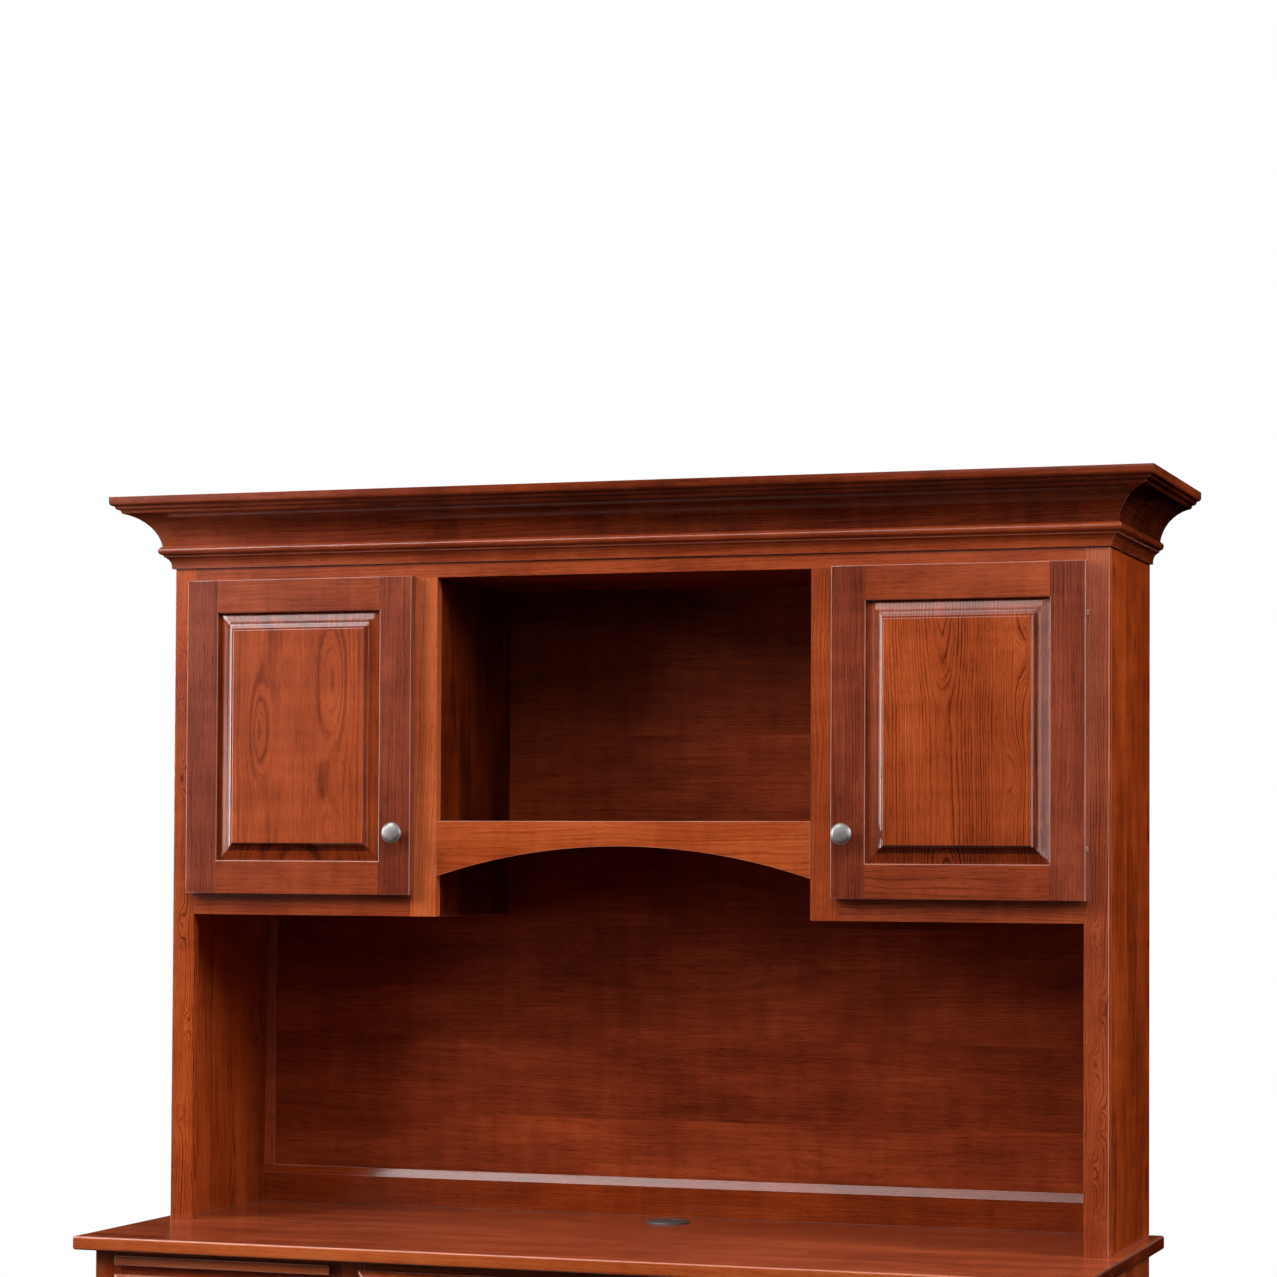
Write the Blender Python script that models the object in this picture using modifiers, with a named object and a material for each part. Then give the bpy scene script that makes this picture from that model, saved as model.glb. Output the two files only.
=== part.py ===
"""Pedestal desk with hutch, as separate pieces in metres with +Z up.

The origin is on the floor under the middle of the object's box. +Y points to the back, and +X to the
right of someone who sits at the desk.
"""

import math

import bmesh
import bpy
from mathutils import Matrix, Vector

# Gaps between neighbouring pieces
SEAT = 0.0003
MERGE = 0.00005
BOX_SIDE_CLEAR = 0.0015
BOX_TOP_CLEAR = 0.012
SLIDE_CLEAR = 0.0010
CENTER_CLEAR = 0.0030
BARREL_CLEAR = 0.0005
CAP_CLEAR = 0.0006

# Desktop and base
DESK_HEIGHT = 0.7620
TOP_WIDTH = 1.6764
TOP_DEPTH = 0.6604
TOP_THICK = 0.0222
SIDE_OVERHANG = 0.0254
FRONT_OVERHANG = 0.0350
PANEL = 0.0190
FRAME_THICK = 0.0190
KNEEHOLE = 0.6688
DESK_BACK = 0.0120
DESK_BACK_INSET = 0.0040
PLINTH_HEIGHT = 0.0900
PLINTH_THICK = 0.0120
BASE_REVEAL = 0.0200
OUTER_REVEAL = 0.0398
INNER_REVEAL = 0.0556
OVERLAP = 0.0060

# Writing slides and drawers
TOP_RAIL = 0.0085
SLIDE_RAIL = 0.0200
DRAWER_RAIL = 0.0260
RUNNER_HEIGHT = 0.0180
RUNNER_LEDGE = 0.0140
SLIDE_THICK = 0.0165
SLIDE_PROUD = 0.0130
SLIDE_DEPTH = 0.4600
BOX_OPENING = 0.1380
BOX_DEPTH = 0.5300
BOX_WALL = 0.0120
BOX_FLOOR = 0.0080
FRONT_THICK = 0.0200
FRONT_BEVEL = 0.0120
FRONT_BEVEL_DEPTH = 0.0080
CENTER_DROP = 0.0142
CENTER_FRONT = 0.0856
CENTER_LIP = 0.0250
CENTER_DEPTH = 0.4300
CLEAT_WIDTH = 0.0180
CLEAT_HEIGHT = 0.0180

# Cable grommet
GROMMET_DIAMETER = 0.0750
GROMMET_HOLE = 0.0620
GROMMET_FROM_BACK = 0.1000
GROMMET_X = 0.0065
GROMMET_FLANGE = 0.0030
GROMMET_WALL = 0.0020
GROMMET_LEDGE = 0.0040
CAP_THICK = 0.0030
CABLE_SLOT = 0.0160
CABLE_SLOT_DEPTH = 0.0160

# Hutch case
HUTCH_DEPTH = 0.3556
END_STILE = 0.0400
CENTER_OPENING = 0.6520
LOWER_OPENING = 0.5227
DOOR_BOTTOM_REVEAL = 0.0356
DOOR_HEIGHT = 0.5359
DOOR_TOP_REVEAL = 0.0226
DOOR_OUTER_REVEAL = 0.0338
DOOR_INNER_REVEAL = 0.0390
CUBBY_RAIL = 0.0247
CUBBY_HEIGHT = 0.4090
APRON_END = 0.0931
APRON_MIDDLE = 0.0418
HUTCH_BACK = 0.0090
RAIL_HEIGHT = 0.0655
RAIL_THICK = 0.0130
RAIL_CHAMFER_RUN = 0.0076
RAIL_CHAMFER_RISE = 0.0145
STRIP_WIDTH = 0.0200
STRIP_THICK = 0.0080

# Crown profile: p is measured out from the case, z up from the foot
CROWN_HEIGHT = 0.1188
CROWN_PROJECTION = 0.0855
CROWN_FILLET = 0.0093
CROWN_STEP_RUN = 0.0065
CROWN_STEP_RISE = 0.0055
CROWN_NIB = 0.0010
CROWN_STEPS = 3
CROWN_BED = 0.0460
CROWN_TOP_WIDTH = 0.0330
FOOT_PROUD = 0.0052
FOOT_HEIGHT = 0.0050
NECK_PROUD = 0.0155
NECK_HEIGHT = 0.0200
NECK_HOLLOW = 0.0028
BEAD_RADIUS = 0.0070
BEAD_PROUD = 0.0162
BEAD_HEIGHT = 0.0300
BEAD_END_ANGLE = 65.0
COVE_PROUD = 0.0172
COVE_HEIGHT = 0.0385
COVE_SAGITTA = 0.0100
CASE_ABOVE_FOOT = 0.0480

# Doors, hinges and knobs
DOOR_THICK = 0.0185
DOOR_GAP = 0.0030
DOOR_STILE = 0.0570
GROOVE_BACK = 0.0030
GROOVE_WIDTH = 0.0055
GROOVE_DEPTH = 0.0100
SLOPE_WIDTH = 0.0165
SLOPE_RISE = 0.0010
RAMP_WIDTH = 0.0130
RAMP_HOLLOW = 0.0019
FIELD_SETBACK = 0.0005
KNOB_DIAMETER = 0.0350
KNOB_REACH = 0.0280
KNOB_DOME = 0.0060
KNOB_RIM = 0.0030
KNOB_NECK = 0.0050
KNOB_STEM = 0.0140
KNOB_FOOT = 0.0200
KNOB_FOOT_THICK = 0.0025
KNOB_FROM_EDGE = 0.0236
KNOB_FROM_BOTTOM = 0.1042
KNUCKLE_HEIGHT = 0.0043
HINGE_FROM_END = 0.0820
HINGE_SETBACK = 0.0089
BARREL_RADIUS = 0.0034
PIN_RADIUS = 0.0012
PIN_ENGAGE = 0.0035
LEAF_THICK = 0.0010
LEAF_WIDTH = 0.0240
LEAF_HEIGHT = 0.0400

# Facets on turned pieces
KNOB_SIDES = 24
HINGE_SIDES = 16
GROMMET_SIDES = 40
ARCH_STEPS = 20
CROWN_ARC_STEPS = 8
NECK_STEPS = 5
RAMP_STEPS = 6

# Planes that the pieces share
AHEAD_OF_FACE = max(FRONT_OVERHANG, FRONT_THICK + KNOB_REACH + 2 * SEAT)
REAR = (TOP_DEPTH - FRONT_OVERHANG + AHEAD_OF_FACE) / 2
TOP_FRONT = REAR - TOP_DEPTH
BASE_FACE = TOP_FRONT + FRONT_OVERHANG
BASE_INNER = BASE_FACE + FRAME_THICK + SEAT
DESK_BACK_FRONT = REAR - DESK_BACK_INSET - DESK_BACK
HALF_WIDTH = TOP_WIDTH / 2 - SIDE_OVERHANG
HALF_KNEE = KNEEHOLE / 2
SIDE_INNER = HALF_WIDTH - PANEL
TOP_UNDER = DESK_HEIGHT - TOP_THICK
BASE_TOP = TOP_UNDER - SEAT
FILE_BOTTOM = PLINTH_HEIGHT + BASE_REVEAL + OVERLAP

HUTCH_FACE = REAR - HUTCH_DEPTH
HUTCH_INNER = HUTCH_FACE + FRAME_THICK + SEAT
HUTCH_BACK_FRONT = REAR - HUTCH_BACK
HUTCH_FLOOR = DESK_HEIGHT + SEAT
HALF_CENTER = CENTER_OPENING / 2
DOOR_BOTTOM = DESK_HEIGHT + LOWER_OPENING + DOOR_BOTTOM_REVEAL
DOOR_TOP = DOOR_BOTTOM + DOOR_HEIGHT
DOOR_OUTER = HALF_WIDTH - DOOR_OUTER_REVEAL
DOOR_INNER = HALF_CENTER + DOOR_INNER_REVEAL
DOOR_BACK = HUTCH_FACE - DOOR_GAP
DOOR_FACE = DOOR_BACK - DOOR_THICK
CROWN_FOOT = DOOR_TOP + DOOR_TOP_REVEAL
CASE_TOP = CROWN_FOOT + CASE_ABOVE_FOOT
CUBBY_TOP = CROWN_FOOT - CUBBY_RAIL
CUBBY_FLOOR = CUBBY_TOP - CUBBY_HEIGHT
CABINET_FLOOR = DOOR_BOTTOM + OVERLAP
HINGE_X = DOOR_OUTER
HINGE_Y = DOOR_FACE + HINGE_SETBACK

# Colour, roughness and metallic value of each kind of surface
FINISHES = {
    "cherry": ((0.260, 0.062, 0.024), 0.32, 0.0),
    "cherry_top": ((0.280, 0.060, 0.026), 0.25, 0.0),
    "cherry_dark": ((0.090, 0.018, 0.008), 0.40, 0.0),
    "cherry_panel": ((0.310, 0.070, 0.026), 0.30, 0.0),
    "nickel": ((0.420, 0.410, 0.400), 0.35, 1.0),
    "bronze": ((0.120, 0.070, 0.045), 0.45, 1.0),
    "plastic": ((0.045, 0.042, 0.042), 0.45, 0.0),
}

for old in list(bpy.data.objects):
    bpy.data.objects.remove(old)


def new_collection(name):
    made = bpy.data.collections.new(name)
    bpy.context.scene.collection.children.link(made)
    return made


PARTS = new_collection("pedestal_desk_with_hutch")
CUTTERS = new_collection("cutters")


def paint(piece, kind):
    """Gives the piece a material of its own."""
    colour, roughness, metallic = FINISHES[kind]
    material = bpy.data.materials.new(piece.name + "_finish")
    material.use_nodes = True
    surface = material.node_tree.nodes["Principled BSDF"]
    surface.inputs["Base Color"].default_value = (*colour, 1.0)
    surface.inputs["Roughness"].default_value = roughness
    surface.inputs["Metallic"].default_value = metallic
    piece.data.materials.append(material)


def world_place(item):
    """Where an unrotated object or empty stands in the world."""
    place = Vector((0.0, 0.0, 0.0))
    while item:
        place += item.location
        item = item.parent
    return place


def stand(item, place, parent):
    item.parent = parent
    item.location = Vector(place) - world_place(parent)


def joint_empty(name, place):
    """An empty on a joint's axis, which carries the pieces that move there."""
    empty = bpy.data.objects.new(name, None)
    empty.empty_display_size = 0.05
    PARTS.objects.link(empty)
    empty.location = place
    return empty


def add_piece(name, shape, place, kind, parent=None):
    mesh = bpy.data.meshes.new(name)
    shape.to_mesh(mesh)
    shape.free()
    piece = bpy.data.objects.new(name, mesh)
    PARTS.objects.link(piece)
    stand(piece, place, parent)
    paint(piece, kind)
    return piece


def cube(low, high):
    """A block about its own centre, and that centre."""
    low, high = Vector(low), Vector(high)
    shape = bmesh.new()
    bmesh.ops.create_cube(shape, size=1.0, matrix=Matrix.Diagonal((*(high - low), 1.0)))
    return shape, (low + high) / 2


def box(name, low, high, kind, parent=None):
    shape, centre = cube(low, high)
    return add_piece(name, shape, centre, kind, parent)


def step_in(shape, faces, width, rise):
    """Draws the faces in by a width all round and lifts them, which leaves a slope along each edge."""
    bmesh.ops.inset_region(shape, faces=faces, thickness=width, depth=rise, use_even_offset=True)


def reshape(piece, operation, low, high):
    """Cuts a block out of the piece, or joins one to it."""
    shape, centre = cube(low, high)
    mesh = bpy.data.meshes.new(piece.name + "_block")
    shape.to_mesh(mesh)
    shape.free()
    block = bpy.data.objects.new(piece.name + "_block", mesh)
    CUTTERS.objects.link(block)
    block.hide_render = True
    block.display_type = "WIRE"
    stand(block, centre, piece)
    change = piece.modifiers.new(operation.lower(), "BOOLEAN")
    change.operation = operation
    change.solver = "EXACT"
    change.object = block


def cut(piece, low, high):
    reshape(piece, "DIFFERENCE", low, high)


def join(piece, low, high):
    reshape(piece, "UNION", low, high)


def mirrored(side, near, far):
    """The X range from near to far on one side of the middle, lowest first."""
    return sorted((side * near, side * far))


def outline(points, depth):
    """A flat outline in X and Y, as thick as depth and centred on Z = 0."""
    curve = bpy.data.curves.new("outline", "CURVE")
    curve.dimensions = "2D"
    curve.fill_mode = "BOTH"
    curve.extrude = depth / 2
    spline = curve.splines.new("POLY")
    spline.points.add(len(points) - 1)
    for point, (x, y) in zip(spline.points, points):
        point.co = (x, y, 0.0, 1.0)
    spline.use_cyclic_u = True
    guide = bpy.data.objects.new("outline", curve)
    CUTTERS.objects.link(guide)
    graph = bpy.context.evaluated_depsgraph_get()
    mesh = bpy.data.meshes.new_from_object(guide.evaluated_get(graph))
    bpy.data.objects.remove(guide)
    shape = bmesh.new()
    shape.from_mesh(mesh)
    bmesh.ops.remove_doubles(shape, verts=shape.verts, dist=MERGE)
    bmesh.ops.recalc_face_normals(shape, faces=shape.faces)
    return shape


def turned(name, profile, sides, place, kind, parent=None, ring=False):
    """A profile of (radius, height) points, turned about Z. A ring's profile is a closed loop."""
    mesh = bpy.data.meshes.new(name)
    edges = [(i, i + 1) for i in range(len(profile) - 1)]
    if ring:
        edges.append((len(profile) - 1, 0))
    mesh.from_pydata([(radius, 0.0, height) for radius, height in profile], edges, [])
    piece = bpy.data.objects.new(name, mesh)
    PARTS.objects.link(piece)
    stand(piece, place, parent)
    paint(piece, kind)
    turn = piece.modifiers.new("turn", "SCREW")
    turn.steps = sides
    turn.render_steps = sides
    turn.use_merge_vertices = True
    turn.merge_threshold = MERGE
    turn.use_smooth_shade = True
    return piece


def arc(start, end, sagitta, steps):
    """Points of a round stretch after start, up to and with end. It bows to the left of the way."""
    start, end = Vector(start), Vector(end)
    chord = end - start
    half = chord.length / 2
    ahead = chord.normalized()
    left = Vector((-ahead.y, ahead.x))
    radius = (half * half + sagitta * sagitta) / (2 * sagitta)
    centre = (start + end) / 2 + left * (sagitta - radius)
    opening = math.asin(half / radius)
    points = []
    for i in range(1, steps + 1):
        angle = opening - 2 * opening * i / steps
        points.append(tuple(centre + radius * (left * math.cos(angle) - ahead * math.sin(angle))))
    return points


def crown_profile():
    """The moulding's section: out from the case along X and up from the foot along Y."""
    points = [(0.0, 0.0), (FOOT_PROUD, 0.0), (FOOT_PROUD, FOOT_HEIGHT)]
    points += arc(points[-1], (NECK_PROUD, NECK_HEIGHT), NECK_HOLLOW, NECK_STEPS)
    for i in range(CROWN_ARC_STEPS + 1):
        angle = math.radians(-90 + (90 + BEAD_END_ANGLE) * i / CROWN_ARC_STEPS)
        out = BEAD_PROUD + BEAD_RADIUS * math.cos(angle)
        points.append((out, BEAD_HEIGHT + BEAD_RADIUS * math.sin(angle)))
    step_run = CROWN_STEP_RUN + CROWN_NIB
    step_rise = CROWN_STEP_RISE + CROWN_NIB
    foot_of_steps = (
        CROWN_PROJECTION - CROWN_STEPS * step_run,
        CROWN_HEIGHT - CROWN_FILLET - CROWN_STEPS * step_rise,
    )
    points.append((COVE_PROUD, COVE_HEIGHT))
    points += arc(points[-1], foot_of_steps, COVE_SAGITTA, CROWN_ARC_STEPS)
    for i in range(CROWN_STEPS):
        out = foot_of_steps[0] + i * step_run + CROWN_NIB
        up = foot_of_steps[1] + i * step_rise
        points.append((out, up))
        for degrees in (30, 60, 90):
            angle = math.radians(degrees)
            over = CROWN_STEP_RUN * math.sin(angle)
            points.append((out + over, up + CROWN_STEP_RISE * (1 - math.cos(angle))))
        points.append((out + CROWN_STEP_RUN, up + step_rise))
    points.append((CROWN_PROJECTION, CROWN_HEIGHT))
    points.append((CROWN_PROJECTION - CROWN_TOP_WIDTH, CROWN_HEIGHT))
    points.append((0.0, CROWN_BED))
    return points


def crown_piece(name, out, centre, length, mitres):
    """One length of the crown. Its section leans out along out, and each mitre is a point and a normal."""
    up = Vector((0.0, 0.0, 1.0))
    out = Vector(out)
    along = out.cross(up)
    shape = outline(crown_profile(), length)
    place = Matrix((out, up, along)).transposed().to_4x4()
    place.translation = Vector(centre)
    bmesh.ops.transform(shape, matrix=place, verts=shape.verts)
    for point, normal in mitres:
        normal = Vector(normal).normalized()
        everything = shape.verts[:] + shape.edges[:] + shape.faces[:]
        inside = Vector(point) - normal * SEAT / 2
        bmesh.ops.bisect_plane(shape, geom=everything, plane_co=inside, plane_no=normal, clear_outer=True)
        bmesh.ops.holes_fill(shape, edges=[edge for edge in shape.edges if edge.is_boundary])
    bmesh.ops.recalc_face_normals(shape, faces=shape.faces)
    add_piece(name, shape, (0.0, 0.0, 0.0), "cherry")


def build_crown():
    reach = HALF_WIDTH + CROWN_PROJECTION + SEAT
    front = HUTCH_FACE - SEAT
    edge = HALF_WIDTH + SEAT
    corners = {side: (side * edge, front, CROWN_FOOT) for side in (-1, 1)}
    mitres = [(corners[side], (side, 1.0, 0.0)) for side in (-1, 1)]
    crown_piece("crown_front", (0.0, -1.0, 0.0), (0.0, front, CROWN_FOOT), 2 * reach, mitres)
    run = REAR - front + CROWN_PROJECTION
    for side, word in ((-1, "left"), (1, "right")):
        centre = (side * edge, REAR - run / 2, CROWN_FOOT)
        mitre = (corners[side], (-side, -1.0, 0.0))
        crown_piece("crown_" + word, (side, 0.0, 0.0), centre, run, [mitre])


def knob(name, place, parent):
    """A mushroom knob that points to the front, with its seat at place."""
    cap = KNOB_DIAMETER / 2
    under_rim = KNOB_REACH - KNOB_DOME - KNOB_RIM
    profile = [(0.0, KNOB_REACH)]
    profile += [
        (cap * math.sin(angle), KNOB_REACH - KNOB_DOME * (1 - math.cos(angle)))
        for angle in (math.radians(share) for share in (25, 50, 70, 90))
    ]
    profile.append((cap, under_rim))
    profile.append((KNOB_STEM / 2, under_rim - KNOB_NECK))
    profile.append((KNOB_STEM / 2, 2 * KNOB_FOOT_THICK))
    profile.append((KNOB_FOOT / 2, KNOB_FOOT_THICK))
    profile.append((KNOB_FOOT / 2, 0.0))
    profile.append((0.0, 0.0))
    piece = turned(name, profile, KNOB_SIDES, place, "nickel", parent)
    piece.rotation_euler = (math.pi / 2, 0.0, 0.0)


def build_desktop():
    top = box(
        "desktop", (-TOP_WIDTH / 2, TOP_FRONT, TOP_UNDER), (TOP_WIDTH / 2, REAR, DESK_HEIGHT), "cherry_top"
    )
    hole = GROMMET_HOLE / 2
    centre = Vector((GROMMET_X, HUTCH_BACK_FRONT - GROMMET_FROM_BACK, DESK_HEIGHT))
    shape = bmesh.new()
    bmesh.ops.create_cone(
        shape,
        cap_ends=True,
        segments=GROMMET_SIDES,
        radius1=hole,
        radius2=hole,
        depth=4 * TOP_THICK,
    )
    mesh = bpy.data.meshes.new("grommet_hole")
    shape.to_mesh(mesh)
    shape.free()
    drill = bpy.data.objects.new("grommet_hole", mesh)
    CUTTERS.objects.link(drill)
    drill.hide_render = True
    drill.display_type = "WIRE"
    stand(drill, centre, top)
    bore = top.modifiers.new("grommet_hole", "BOOLEAN")
    bore.operation = "DIFFERENCE"
    bore.solver = "EXACT"
    bore.object = drill

    sleeve = hole - SEAT * 2
    inside = sleeve - GROMMET_WALL
    ledge = inside - GROMMET_LEDGE
    rest = GROMMET_FLANGE - CAP_THICK - SEAT
    flange = [
        (inside, GROMMET_FLANGE),
        (GROMMET_DIAMETER / 2 - GROMMET_FLANGE / 2, GROMMET_FLANGE),
        (GROMMET_DIAMETER / 2, SEAT),
        (sleeve, SEAT),
        (sleeve, -TOP_THICK),
        (ledge, -TOP_THICK),
        (ledge, rest),
        (inside, rest),
    ]
    turned("grommet_liner", flange, GROMMET_SIDES, centre, "plastic", ring=True)
    axis = joint_empty("grommet_cap_axis", centre)
    cap = inside - CAP_CLEAR
    low = rest + SEAT
    disc = [(0.0, low + CAP_THICK), (cap, low + CAP_THICK), (cap, low), (0.0, low)]
    lid = turned("grommet_cap", disc, GROMMET_SIDES, centre, "plastic", axis)
    edge = centre + Vector((0.0, cap, low))
    cut(
        lid,
        edge - Vector((CABLE_SLOT / 2, CABLE_SLOT_DEPTH, CAP_THICK)),
        edge + Vector((CABLE_SLOT / 2, CABLE_SLOT_DEPTH, 2 * CAP_THICK)),
    )


def drawer_levels():
    """The bottom and top of each opening in a pedestal: slide, two box drawers and a file drawer."""
    slot_top = TOP_UNDER - TOP_RAIL
    slot_bottom = slot_top - SLIDE_THICK - 2 * SEAT
    upper_top = slot_bottom - SLIDE_RAIL
    upper_bottom = upper_top - BOX_OPENING
    middle_top = upper_bottom - DRAWER_RAIL
    middle_bottom = middle_top - BOX_OPENING
    file_top = middle_bottom - DRAWER_RAIL
    return {
        "slide": (slot_bottom, slot_top),
        "upper_drawer": (upper_bottom, upper_top),
        "middle_drawer": (middle_bottom, middle_top),
        "file_drawer": (FILE_BOTTOM, file_top),
    }


def drawer(name, front_x, front_z, box_x, box_z, depth):
    """A drawer and its knob: a bevelled front with a box joined to its back."""
    back = BASE_FACE - SEAT
    face = back - FRONT_THICK
    centre_x = sum(front_x) / 2
    centre_z = sum(front_z) / 2
    travel = joint_empty(name + "_travel", (centre_x, back, centre_z))
    shape, centre = cube((front_x[0], face, front_z[0]), (front_x[1], back, front_z[1]))
    bmesh.ops.translate(
        shape,
        vec=(0.0, FRONT_BEVEL_DEPTH, 0.0),
        verts=[vert for vert in shape.verts if vert.co.y < 0],
    )
    lead = [side for side in shape.faces if side.normal.y < -0.5]
    step_in(shape, lead, FRONT_BEVEL, FRONT_BEVEL_DEPTH)
    piece = add_piece(name, shape, centre, "cherry", travel)
    join(
        piece,
        (box_x[0], back - FRONT_THICK / 4, box_z[0]),
        (box_x[1], BASE_FACE + depth, box_z[1]),
    )
    cut(
        piece,
        (box_x[0] + BOX_WALL, BASE_FACE + BOX_WALL, box_z[0] + BOX_FLOOR),
        (box_x[1] - BOX_WALL, BASE_FACE + depth - BOX_WALL, box_z[1] + BOX_WALL),
    )
    knob(name + "_knob", (centre_x, face - SEAT, centre_z), travel)


def build_pedestal(side, word):
    levels = drawer_levels()
    opening_outer = HALF_WIDTH - OUTER_REVEAL - OVERLAP
    opening_inner = HALF_KNEE + INNER_REVEAL + OVERLAP
    slide_outer = HALF_WIDTH - OUTER_REVEAL
    slide_inner = HALF_KNEE + INNER_REVEAL
    inner_face = HALF_KNEE + PANEL

    x0, x1 = mirrored(side, SIDE_INNER, HALF_WIDTH)
    box(word + "_outer_side", (x0, BASE_INNER, 0.0), (x1, REAR, BASE_TOP), "cherry")
    x0, x1 = mirrored(side, HALF_KNEE, inner_face)
    inner = box(word + "_inner_side", (x0, BASE_INNER, 0.0), (x1, DESK_BACK_FRONT - SEAT, BASE_TOP), "cherry")
    cleat_top = TOP_UNDER - CENTER_DROP - CENTER_FRONT + CENTER_LIP - SEAT
    x0, x1 = mirrored(side, HALF_KNEE - CLEAT_WIDTH, HALF_KNEE + PANEL / 2)
    join(inner, (x0, BASE_INNER, cleat_top - CLEAT_HEIGHT), (x1, BASE_FACE + CENTER_DEPTH, cleat_top))

    x0, x1 = mirrored(side, HALF_KNEE, HALF_WIDTH)
    frame = box(
        word + "_drawer_frame", (x0, BASE_FACE, 0.0), (x1, BASE_FACE + FRAME_THICK, BASE_TOP), "cherry"
    )
    for level, (bottom, top) in levels.items():
        if level == "slide":
            x0, x1 = mirrored(side, slide_inner - SLIDE_CLEAR, slide_outer + SLIDE_CLEAR)
        else:
            x0, x1 = mirrored(side, opening_inner, opening_outer)
        cut(frame, (x0, BASE_FACE - FRAME_THICK, bottom), (x1, BASE_FACE + 2 * FRAME_THICK, top))
    for bottom, _ in levels.values():
        for near, far in (
            (inner_face + SEAT, opening_inner + RUNNER_LEDGE),
            (opening_outer - RUNNER_LEDGE, SIDE_INNER - SEAT),
        ):
            x0, x1 = mirrored(side, near, far)
            join(
                frame,
                (x0, BASE_FACE + FRAME_THICK / 2, bottom - RUNNER_HEIGHT),
                (x1, DESK_BACK_FRONT - SEAT, bottom),
            )

    floor_top = FILE_BOTTOM - RUNNER_HEIGHT - SEAT
    x0, x1 = mirrored(side, inner_face + SEAT, SIDE_INNER - SEAT)
    box(
        word + "_pedestal_bottom",
        (x0, BASE_INNER, floor_top - PANEL),
        (x1, DESK_BACK_FRONT - SEAT, floor_top),
        "cherry_dark",
    )

    near = HALF_KNEE - SEAT
    far = HALF_WIDTH + SEAT
    lead = BASE_FACE - SEAT
    wrap = [
        (near, DESK_BACK_FRONT - SEAT),
        (near, lead),
        (far, lead),
        (far, REAR),
        (far + PLINTH_THICK, REAR),
        (far + PLINTH_THICK, lead - PLINTH_THICK),
        (near - PLINTH_THICK, lead - PLINTH_THICK),
        (near - PLINTH_THICK, DESK_BACK_FRONT - SEAT),
    ]
    shape = outline([(side * x, y) for x, y in wrap], PLINTH_HEIGHT)
    add_piece(word + "_plinth", shape, (0.0, 0.0, PLINTH_HEIGHT / 2), "cherry")

    bottom, top = levels["slide"]
    x0, x1 = mirrored(side, slide_inner, slide_outer)
    travel = joint_empty(word + "_writing_slide_travel", ((x0 + x1) / 2, BASE_FACE, bottom))
    box(
        word + "_writing_slide",
        (x0, BASE_FACE - SLIDE_PROUD, bottom + SEAT),
        (x1, BASE_FACE + SLIDE_DEPTH, top - SEAT),
        "cherry",
        travel,
    )

    for level in ("upper_drawer", "middle_drawer", "file_drawer"):
        bottom, top = levels[level]
        drawer(
            word + "_" + level,
            mirrored(side, slide_inner, slide_outer),
            (bottom - OVERLAP, top + OVERLAP),
            mirrored(side, opening_inner + BOX_SIDE_CLEAR, opening_outer - BOX_SIDE_CLEAR),
            (bottom + SEAT, top - BOX_TOP_CLEAR),
            BOX_DEPTH,
        )


def build_desk_middle():
    box(
        "desk_back",
        (SEAT - SIDE_INNER, DESK_BACK_FRONT, PLINTH_HEIGHT),
        (SIDE_INNER - SEAT, DESK_BACK_FRONT + DESK_BACK, BASE_TOP),
        "cherry_dark",
    )
    rail_bottom = TOP_UNDER - CENTER_DROP - OVERLAP
    box(
        "kneehole_rail",
        (SEAT - HALF_KNEE, BASE_FACE, rail_bottom),
        (HALF_KNEE - SEAT, BASE_FACE + FRAME_THICK, BASE_TOP),
        "cherry",
    )
    front_top = TOP_UNDER - CENTER_DROP
    front_bottom = front_top - CENTER_FRONT
    drawer(
        "center_drawer",
        (-HALF_KNEE - OVERLAP, HALF_KNEE + OVERLAP),
        (front_bottom, front_top),
        (CENTER_CLEAR - HALF_KNEE, HALF_KNEE - CENTER_CLEAR),
        (front_bottom + CENTER_LIP, rail_bottom - CENTER_CLEAR),
        CENTER_DEPTH,
    )


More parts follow.
